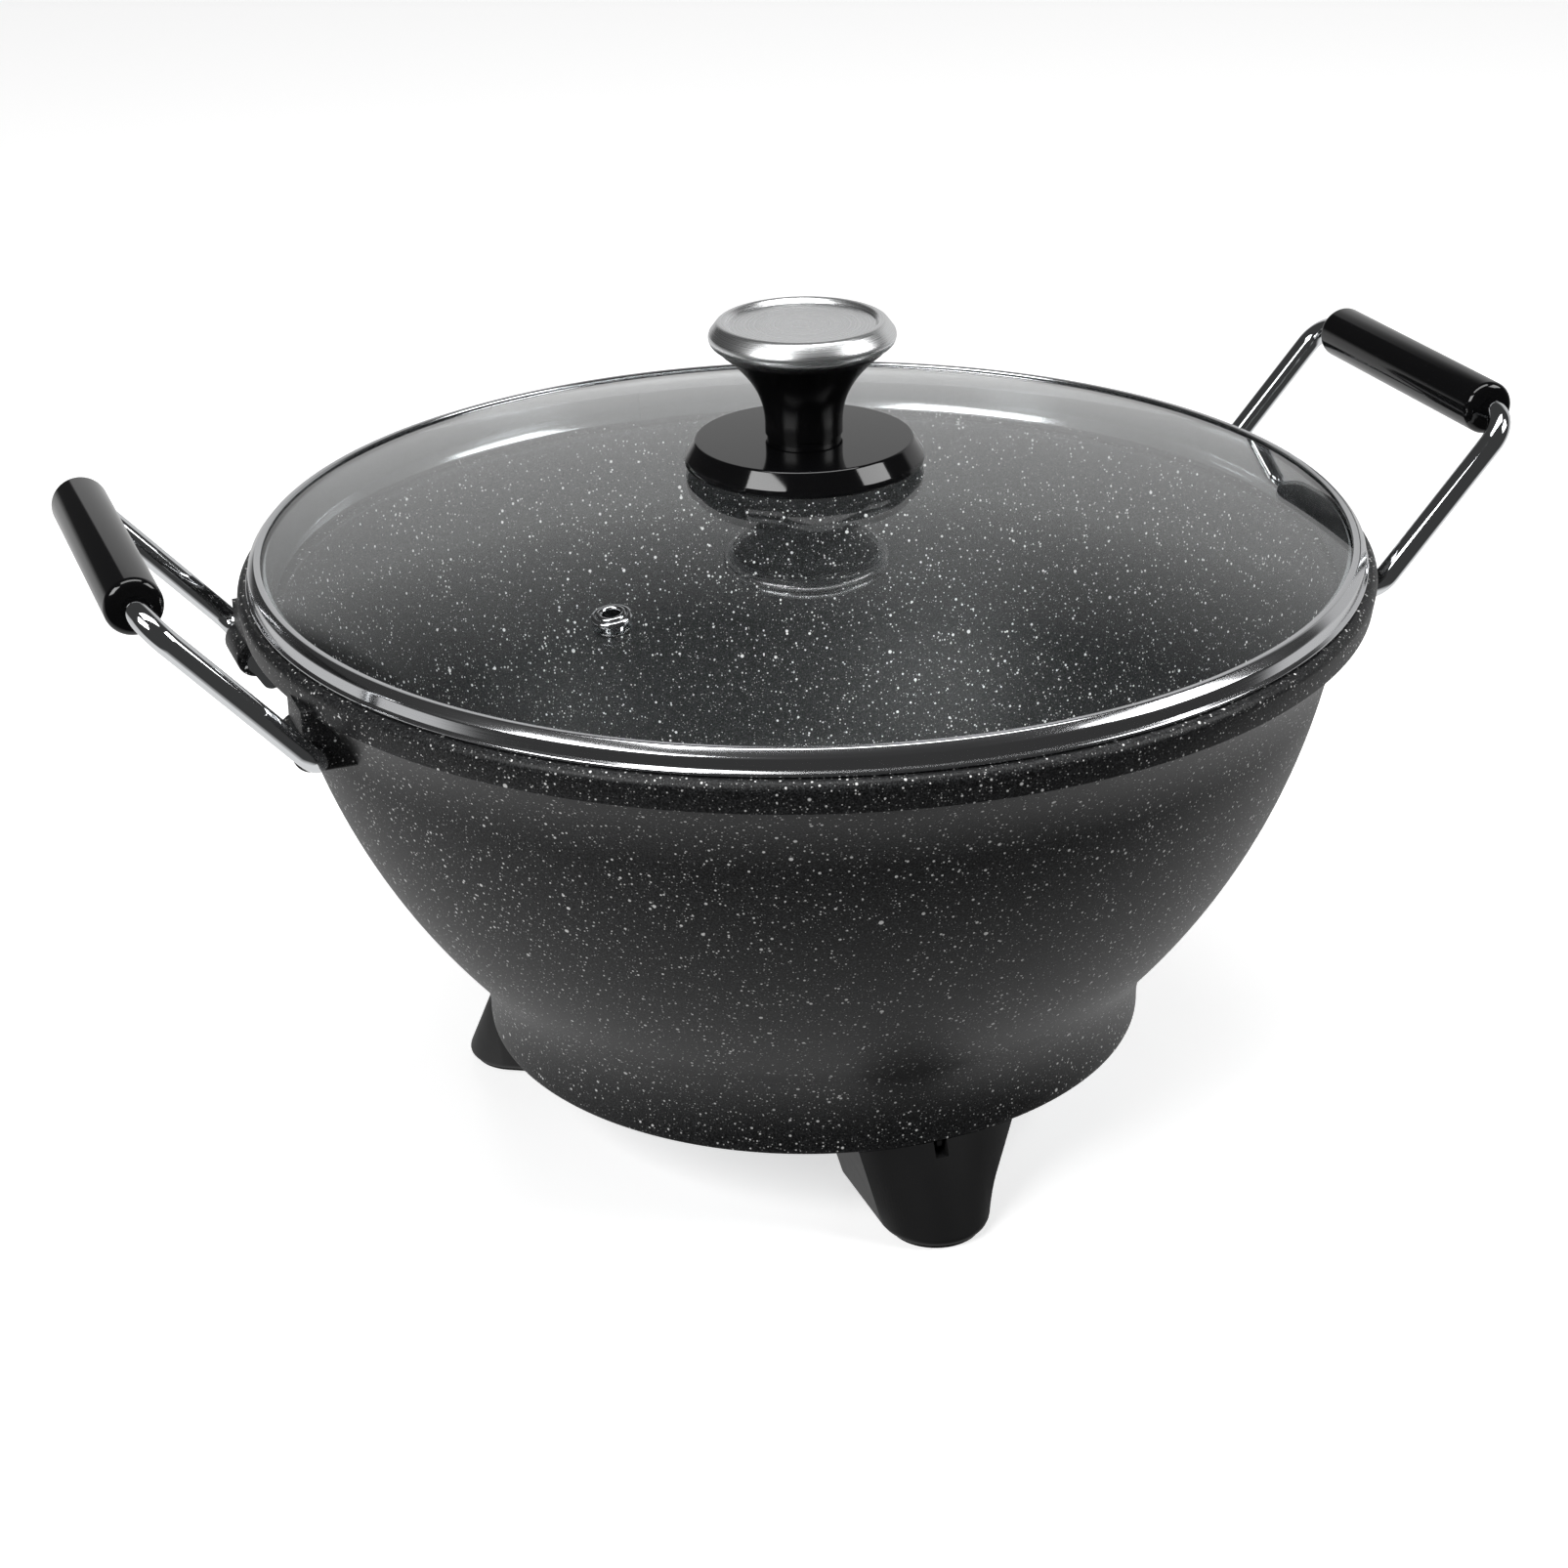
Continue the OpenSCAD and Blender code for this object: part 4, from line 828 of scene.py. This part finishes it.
def wire(h):
    """The bent wire of a handle, in the plane of its legs: X up the handle, Y along the hinge."""
    bm = bmesh.new()
    bmesh.ops.create_circle(bm, segments=40, radius=h.wire_radius, cap_ends=False)
    bmesh.ops.rotate(bm, matrix=Matrix.Rotation(math.pi / 2, 3, "X"), verts=bm.verts)
    bmesh.ops.translate(bm, vec=(0, h.hook_end, 0), verts=bm.verts)
    bm.faces.new(list(bm.verts))
    loop = list(bm.edges)
    loop = run_end(bm, loop, (0, h.half_span - h.hook_bend - h.hook_end, 0))
    bend = (h.hook_bend, h.half_span - h.hook_bend, 0)
    loop = sweep_end(bm, loop, bend, (0, 0, -1), math.pi / 2, 20)
    loop = run_end(bm, loop, (h.reach - h.elbow - h.hook_bend, 0, 0))
    bend = (h.reach - h.elbow, h.half_span - h.elbow, 0)
    loop = sweep_end(bm, loop, bend, (0, 0, -1), math.pi / 2, 24)
    run_end(bm, loop, (0, -(h.half_span - h.elbow), 0))
    bmesh.ops.mirror(bm, geom=list(bm.verts) + list(bm.edges) + list(bm.faces), axis="Y", merge_dist=1e-6)
    bmesh.ops.remove_doubles(bm, verts=bm.verts, dist=1e-6)
    bmesh.ops.recalc_face_normals(bm, faces=bm.faces)
    return bm


def stop_tab(h, end):
    """The tab at a hook's end that rests on the bowl's wall."""
    r = h.tab_radius
    outline = [(0, r), (0, -r)] + arc((h.tab_length, 0), r, -90, 90, 20)
    bm = bmesh.new()
    turn = Matrix.Rotation(-h.tab_angle, 3, "Y")
    verts = [bm.verts.new(turn @ Vector((x, 0, z)) + Vector((0, end * h.hook_end, 0))) for x, z in outline]
    flat = bm.faces.new(verts)
    grown = bmesh.ops.extrude_face_region(bm, geom=[flat])
    moved = [v for v in grown["geom"] if isinstance(v, bmesh.types.BMVert)]
    bmesh.ops.translate(bm, vec=(0, end * h.tab, 0), verts=moved)
    bmesh.ops.recalc_face_normals(bm, faces=bm.faces)
    return bm


def grip_outline(h):
    """Outline of a grip sleeve, with its round ends."""
    edge = 2.6 * MM
    half = h.grip_length / 2
    bore = h.wire_radius + 0.05 * MM
    return (
        [(bore, -half)]
        + arc((h.grip_radius - edge, edge - half), edge, -90, 0, 10)
        + arc((h.grip_radius - edge, half - edge), edge, 0, 90, 10)
        + [(bore, half)]
    )


class WOK_OT_handles(bpy.types.Operator):
    """Two bent wire handles and their grips"""

    bl_idname = "wok.handles"
    bl_label = "Handles"

    def execute(self, context):
        h = context.scene.wok_handle
        # Bright chrome on drawn wire: a mirror with hardly any texture
        chrome = metal("bright_chrome", h.chrome, 0.035, 3 * MM, 0.002 * MM)
        # Polished thermoset sleeve: black, with sharp reflections
        black = moulded("polished_grip", h.grip, 0.09, 1.2 * MM, 0.002 * MM)
        for side, name in ((-1, "left"), (1, "right")):
            place = (
                Matrix.Scale(side, 4, (1, 0, 0))
                @ Matrix.Translation((hinge_place(), 0, h.hinge_height))
                @ Matrix.Rotation(-h.rest_angle, 4, "Y")
            )
            body = "handle_" + name
            bm = wire(h)
            carve(bm, joined([stop_tab(h, end) for end in BOTH]), "UNION")
            bmesh.ops.transform(bm, matrix=place, verts=bm.verts)
            bmesh.ops.recalc_face_normals(bm, faces=bm.faces)
            made = piece("handle_wire_" + name, bm, body, chrome)
            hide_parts("handle_rod_" + name)
            along = place @ Matrix.Translation((h.reach, 0, 0)) @ Matrix.Rotation(math.pi / 2, 4, "X")
            sleeve = turned(grip_outline(h), SMALL_TURN, closed=True)
            bmesh.ops.transform(sleeve, matrix=along, verts=sleeve.verts)
            bmesh.ops.recalc_face_normals(sleeve, faces=sleeve.faces)
            made = piece("grip_sleeve_" + name, sleeve, body, black)
            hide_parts("grip_" + name)
        return {"FINISHED"}


# ---- the lid ----


def dome_height(lid, radius, below=0.0):
    """Height of the dome's upper face, or of a face a little below it."""
    centre = lid.apex_height - lid.dome_radius
    return centre + math.sqrt((lid.dome_radius - below) ** 2 - radius ** 2)


def glass_outline(lid, glass_r):
    """Outline of the glass, open at the screw's hole, with a ground edge."""
    steps = 72
    hole = 4.2 * MM
    radii = [hole + (glass_r - hole) * i / steps for i in range(steps + 1)]
    upper = [(r, dome_height(lid, r)) for r in radii]
    lower = [(r, dome_height(lid, r, lid.glass)) for r in reversed(radii)]
    ring = upper + lower
    return softened(ring, 0.8 * MM, (steps, steps + 1), closed=True)


def band_outline(lid, mouth_radius, seat_z):
    """Outline of the rolled strip: skirt, lip, outer band and the fold over the glass."""
    t = lid.strip
    skirt_r = mouth_radius - 2.6 * MM
    band_r = lid.rim_radius - 0.9 * MM
    glass_r = band_r - t - 0.1 * MM
    fold = band_r - 2.9 * MM
    top = skirt_r + 1.2 * MM
    # The skirt ends in a small round hem, which shows as a bright line through the glass
    hem_r = 0.55 * MM
    hem = arc((skirt_r - t / 2, seat_z - 10 * MM + hem_r), hem_r, 130, 410, 14)
    points = hem + [
        (skirt_r + 1 * MM, seat_z - 5 * MM),
        (skirt_r + 2 * MM, seat_z - 1 * MM), (mouth_radius + 0.4 * MM, seat_z),
    ]
    lip_r = 0.7 * MM
    points += arc((lid.rim_radius - lip_r, seat_z + lip_r), lip_r, -90, 60, 8)
    shoulder_z, shoulder_r = seat_z + 4.8 * MM, 1.4 * MM
    points += [(band_r, seat_z + 1.8 * MM), (band_r - 0.1 * MM, shoulder_z)]
    points += arc((band_r - 0.1 * MM - shoulder_r, shoulder_z), shoulder_r, 0, 40, 8)[1:]
    # The fold rises to a flat crest, and ends on the glass
    crest = dome_height(lid, fold) + t + 0.5 * MM
    points += [
        (band_r - 1.9 * MM, crest - 0.25 * MM),
        (band_r - 2.15 * MM, crest - 0.07 * MM),
        (band_r - 2.5 * MM, crest),
        (fold - 1.0 * MM, crest - 0.06 * MM),
        (fold - 1.3 * MM, crest - 0.2 * MM),
        (fold - 1.4 * MM, crest - 0.4 * MM),
        (fold - 1.3 * MM, dome_height(lid, fold - 1.3 * MM) + 0.1 * MM),
        (glass_r + 0.05 * MM, dome_height(lid, glass_r) + 0.1 * MM),
        (glass_r + 0.05 * MM, dome_height(lid, glass_r, lid.glass) - 0.1 * MM),
        (top, dome_height(lid, top, lid.glass) - 0.1 * MM),
        (top - t, seat_z), (skirt_r + 1 * MM - t, seat_z - 5 * MM),
    ]
    return points, glass_r


class WOK_OT_lid(bpy.types.Operator):
    """Glass dome and its rolled steel band"""

    bl_idname = "wok.lid"
    bl_label = "Glass Lid"

    def execute(self, context):
        lid = context.scene.wok_lid
        bowl = context.scene.wok_bowl
        rest_gap = 0.3 * MM
        points, glass_r = band_outline(lid, bowl.mouth_radius, bowl.rim_height + rest_gap)
        # Stainless strip polished along its length: fine lines that stretch its reflections
        steel = metal("polished_stainless_strip", lid.band, 0.14, 0.5 * MM, 0.003 * MM, turned_lines=True)
        gap = lid.seam_gap / lid.rim_radius
        seam_at = Matrix.Rotation(math.radians(90) + gap, 4, "Z")
        band = turned(points, TURN, closed=True, angle=math.tau - gap, place=seam_at)
        made = piece("lid_band", band, "lid", steel)
        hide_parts("lid_rim")
        dome = turned(glass_outline(lid, glass_r), TURN, closed=True)
        glass = piece("lid_dome", dome, "lid", tempered_glass(lid))
        # The vent's hole is 0.1 mm wider all round than the eyelet's stem
        radius, under, over = 3.65 * MM, -8 * MM, 4 * MM
        hole = turned([(0, under), (radius, under), (radius, over), (0, over)], 64, place=vent_place(lid))
        carve(glass, hole, "DIFFERENCE")
        crisp(glass)
        # Clear glass lets the lamps' light through, so it throws no shadow
        glass.visible_shadow = False
        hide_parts("lid_glass")
        return {"FINISHED"}


def vent_place(lid):
    """Matrix of the steam vent: square to the glass, with zero on the upper face."""
    at_r, angle = 121.5 * MM, math.radians(221.4)
    tilt = math.asin(at_r / lid.dome_radius)
    return (
        Matrix.Translation((0, 0, lid.apex_height - lid.dome_radius))
        @ Matrix.Rotation(angle, 4, "Z")
        @ Matrix.Rotation(tilt, 4, "Y")
        @ Matrix.Translation((0, 0, lid.dome_radius))
    )


class WOK_OT_vent(bpy.types.Operator):
    """Steel eyelet that lets the steam out, and its collar under the glass"""

    bl_idname = "wok.vent"
    bl_label = "Steam Vent"

    def execute(self, context):
        lid = context.scene.wok_lid
        # Pressed stainless with a tumbled shine: bright, with soft edges to its reflections
        steel = metal("pressed_eyelet", "c6c8ca", 0.12, 0.5 * MM, 0.003 * MM)
        hole, stem, flange = 2.65 * MM, 3.55 * MM, 6.2 * MM
        # The flange's bead lies a hair over the glass, and the lip stands inside it
        bead, lip, over, low = 1.1 * MM, 0.95 * MM, 0.05 * MM, -5.6 * MM
        outline = [(hole, low), (stem, low), (stem, over)]
        outline += arc((flange - bead, over + bead), bead, -90, 135, 20)
        outline += arc((hole + lip, 1.9 * MM), lip, 20, 180, 16)
        made = piece(
            "vent_eyelet_pressing", turned(outline, SMALL_TURN, closed=True, place=vent_place(lid)),
            "lid", steel)
        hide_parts("vent_eyelet")
        finish_nodes(["vent_collar"], steel)
        return {"FINISHED"}


# ---- the knob ----


def stem_outline(k, low, high):
    """Outline of the stem: a grooved foot, a slim waist and a flare to the cap."""
    waist, wide = k.waist_radius, k.stem_radius
    start, end = low + 4.5 * MM, high - 1 * MM
    steps = 40
    flare = [
        (waist + (wide - waist) * (i / steps) ** 2.2, start + (end - start) * i / steps) for i in range(steps + 1)
    ]
    foot = [(2.5 * MM, low), (waist - 0.6 * MM, low), (waist - 0.6 * MM, low + 1.5 * MM), (waist, low + 1.8 * MM)]
    return foot + flare + [(wide, high), (2.5 * MM, high)]


def disc_outline(k, low, high):
    """Outline of the disc: a low edge, a sloping side and a round upper edge."""
    r = k.disc_radius
    side = (high - low) * 0.34
    points = [
        (2.85 * MM, low), (r - 1.0 * MM, low), (r, low + 0.8 * MM), (r - 0.2 * MM, low + side),
        (r - 3.6 * MM, high), (2.85 * MM, high),
    ]
    points = softened(points, 0.5 * MM, (1, 2, 3), 6, closed=True)
    return softened(points, 1.2 * MM, (len(points) - 2,), 8, closed=True)


def cap_outline(k, low, high):
    """Outline of the cap: a rolled edge round a sunk flat top, and no bottom inside its seat on the stem."""
    r = k.cap_radius
    seat = 20.1 * MM
    tall = high - low
    sunk = high - 1.6 * MM
    points = [(seat, low), (k.stem_radius, low)]
    points += arc((r - 3 * MM, low + tall * 0.42), 3 * MM, -75, 30, 16)
    points += arc((r - 4.4 * MM, high - 2.6 * MM), 2.6 * MM, 42, 112, 12)
    points += [(r - 6.6 * MM, sunk), (0, sunk)]
    return softened(points, 0.6 * MM, (len(points) - 2,), 6)


class WOK_OT_knob(bpy.types.Operator):
    """Knob: glossy disc, satin stem, and a brushed cap with a sunk top"""

    bl_idname = "wok.knob"
    bl_label = "Knob"

    def execute(self, context):
        k = context.scene.wok_knob
        # Polished phenolic: deep black with sharp reflections
        gloss = moulded("polished_phenolic", k.gloss, 0.07, 2.5 * MM, 0.003 * MM)
        # The same moulding as it leaves the mould: a softer gleam
        satin = moulded("satin_phenolic", k.gloss, 0.24, 1.5 * MM, 0.004 * MM)
        # Aluminium brushed as it turned, then clear-coated: fine rings that spread the light
        brushed = metal("turned_brushed_cap", k.cap, 0.28, 0.3 * MM, 0.03 * MM, turned_lines=True)
        disc = disc_outline(k, DISC_BOX[0].z, DISC_BOX[1].z)
        stem = stem_outline(k, STEM_BOX[0].z, CAP_BOX[0].z)
        cap = cap_outline(k, CAP_BOX[0].z, CAP_BOX[1].z)
        pieces = (
            ("knob_disc_moulding", disc, True, "glossy_black", gloss, "knob_disc"),
            ("knob_stem_moulding", stem, True, "glossy_black", satin, "knob_stem"),
            ("knob_cap_shell", cap, False, "brushed_cap", brushed, "knob_cap"),
        )
        for name, outline, closed, slot, material, node in pieces:
            made = piece(name, turned(outline, TURN, closed=closed), "lid", material)
            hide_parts(node)
        # Rubber between the glass and the disc: black and dull
        finish_nodes(["knob_seal"], moulded("seal_rubber", "141414", 0.7, 0.6 * MM, 0.02 * MM))
        # Zinc plate on the washer and the screw: bright grey
        finish_nodes(["knob_washer", "knob_screw"], metal("plated_knob_screw", "b0b2b4", 0.26, 0.8 * MM, 0.01 * MM))
        return {"FINISHED"}


# ---- the stage ----


def softbox(name, at, look_at, size, power):
    """A rectangular soft light."""
    data = bpy.data.lights.new(name, "AREA")
    data.shape = "RECTANGLE"
    data.size, data.size_y = size
    data.energy = power
    made = bpy.data.objects.new(name, data)
    made.location = at
    made.rotation_mode = "QUATERNION"
    made.rotation_quaternion = (Vector(look_at) - Vector(at)).to_track_quat("-Z", "Y")
    bpy.context.scene.collection.objects.link(made)


def studio(s):
    """The room round the stage: a white sweep behind and below, and dark above and behind the camera."""
    world = bpy.data.worlds.new("studio")
    world.use_nodes = True
    tree = world.node_tree
    tree.nodes.clear()
    way = add(tree, "ShaderNodeTexCoord").outputs["Generated"]
    parts = add(tree, "ShaderNodeSeparateXYZ", {0: way})
    height = parts.outputs["Z"]
    # 1 behind the object, 0 behind the camera
    behind = add(
        tree, "ShaderNodeMapRange", {"Value": parts.outputs["Y"], "From Min": -0.35, "From Max": 0.35}).outputs[0]
    # The sweep stands up on the right, and ends in a crisp edge near the middle
    right = add(
        tree, "ShaderNodeMapRange", {"Value": parts.outputs["X"], "From Min": -0.1, "From Max": -0.02}).outputs[0]
    high_start = add(tree, "ShaderNodeMapRange", {"Value": right, "To Min": -0.1, "To Max": 0.4}).outputs[0]
    high_end = add(tree, "ShaderNodeMapRange", {"Value": right, "To Min": 0.04, "To Max": 0.64}).outputs[0]
    # The heights at which the white starts to fade, and has faded
    start = add(tree, "ShaderNodeMapRange", {"Value": behind, "To Min": -0.95, "To Max": high_start}).outputs[0]
    end = add(tree, "ShaderNodeMapRange", {"Value": behind, "To Min": -0.7, "To Max": high_end}).outputs[0]
    # Straight below, the floor throws more light back
    pale = add(
        tree, "ShaderNodeMapRange",
        {"Value": height, "From Min": -0.8, "From Max": -0.1, "To Min": s.bounce, "To Max": s.sweep}).outputs[0]
    room = add(
        tree, "ShaderNodeMapRange",
        {"Value": height, "From Min": start, "From Max": end, "To Min": pale, "To Max": s.upper}).outputs[0]
    seen = add(tree, "ShaderNodeLightPath").outputs["Is Camera Ray"]
    strength = add(tree, "ShaderNodeMix", {"Factor": seen, "A": room, "B": 1.0})
    light = add(tree, "ShaderNodeBackground", {"Color": (1, 1, 1, 1), "Strength": strength.outputs[0]})
    add(tree, "ShaderNodeOutputWorld", {"Surface": light.outputs[0]})
    return world


class WOK_OT_stage(bpy.types.Operator):
    """Pale floor, soft lights and the camera"""

    bl_idname = "wok.stage"
    bl_label = "Stage"

    def execute(self, context):
        s = context.scene.wok_stage
        scene = context.scene
        bm = bmesh.new()
        bmesh.ops.create_grid(bm, x_segments=1, y_segments=1, size=8)
        mesh = bpy.data.meshes.new("floor")
        bm.to_mesh(mesh)
        bm.free()
        floor = bpy.data.objects.new("floor", mesh)
        scene.collection.objects.link(floor)
        material, _, shader = new_material("pale_floor")
        shader.inputs["Base Color"].default_value = shade_of(s.floor)
        shader.inputs["Roughness"].default_value = 0.3
        shader.inputs["Emission Color"].default_value = (1, 1, 1, 1)
        shader.inputs["Emission Strength"].default_value = s.floor_glow
        mesh.materials.append(material)
        # The sweep is seen, but the object takes its light and its reflections from the room
        floor.visible_diffuse = False
        floor.visible_glossy = False
        scene.world = studio(s)
        middle = (0, 0, 0.15)
        # Each: its name, its place, its width and height in metres, and its power in watts
        for name, at, size, power in (
            ("key_left", (-1.4, -0.7, 1.25), (1.1, 0.8), 23),
            ("key_right", (1.3, -0.8, 1.15), (0.8, 0.8), 13),
            ("overhead", (0.0, -0.2, 1.9), (1.8, 0.7), 22),
        ):
            softbox(name, at, middle, size, power)

        data = bpy.data.cameras.new("camera")
        data.lens = s.lens
        data.sensor_width = 36
        data.clip_start, data.clip_end = 0.05, 50
        camera = bpy.data.objects.new("camera", data)
        scene.collection.objects.link(camera)
        camera.matrix_world = (
            Matrix.Translation(s.camera_at)
            @ Matrix.Rotation(-s.heading, 4, "Z")
            @ Matrix.Rotation(math.pi / 2 - s.tilt, 4, "X")
            @ Matrix.Rotation(s.roll, 4, "Z")
        )
        scene.camera = camera
        scene.view_settings.view_transform = "Standard"
        return {"FINISHED"}


# ---- the add-on ----

SETTINGS = (
    ("wok_bowl", WokBowlSettings), ("wok_lid", WokLidSettings), ("wok_knob", WokKnobSettings),
    ("wok_handle", WokHandleSettings), ("wok_foot", WokFootSettings), ("wok_stage", WokStageSettings),
)
OPERATORS = (
    WOK_OT_bowl, WOK_OT_base, WOK_OT_inlet, WOK_OT_feet, WOK_OT_handles, WOK_OT_lid, WOK_OT_vent, WOK_OT_knob,
    WOK_OT_stage,
)


class WOK_PT_panel(bpy.types.Panel):
    """The wok's pieces, in the order that they are made"""

    bl_idname = "WOK_PT_panel"
    bl_label = "Electric Wok"
    bl_space_type = "VIEW_3D"
    bl_region_type = "UI"
    bl_category = "Wok"

    def draw(self, context):
        for operator in OPERATORS:
            self.layout.operator(operator.bl_idname)
        for name, group in SETTINGS:
            box = self.layout.box()
            box.label(text=group.__doc__)
            for key in group.__annotations__:
                box.prop(getattr(context.scene, name), key)


def register():
    for name, group in SETTINGS:
        bpy.utils.register_class(group)
        setattr(bpy.types.Scene, name, PointerProperty(type=group))
    for cls in (*OPERATORS, WOK_PT_panel):
        bpy.utils.register_class(cls)


def unregister():
    for cls in (WOK_PT_panel, *reversed(OPERATORS)):
        bpy.utils.unregister_class(cls)
    for name, group in reversed(SETTINGS):
        delattr(bpy.types.Scene, name)
        bpy.utils.unregister_class(group)


def main():
    """Registers the add-on and makes every piece in order."""
    register()
    for operator in OPERATORS:
        group, name = operator.bl_idname.split(".")
        getattr(getattr(bpy.ops, group), name)()


if __name__ == "__main__":
    main()
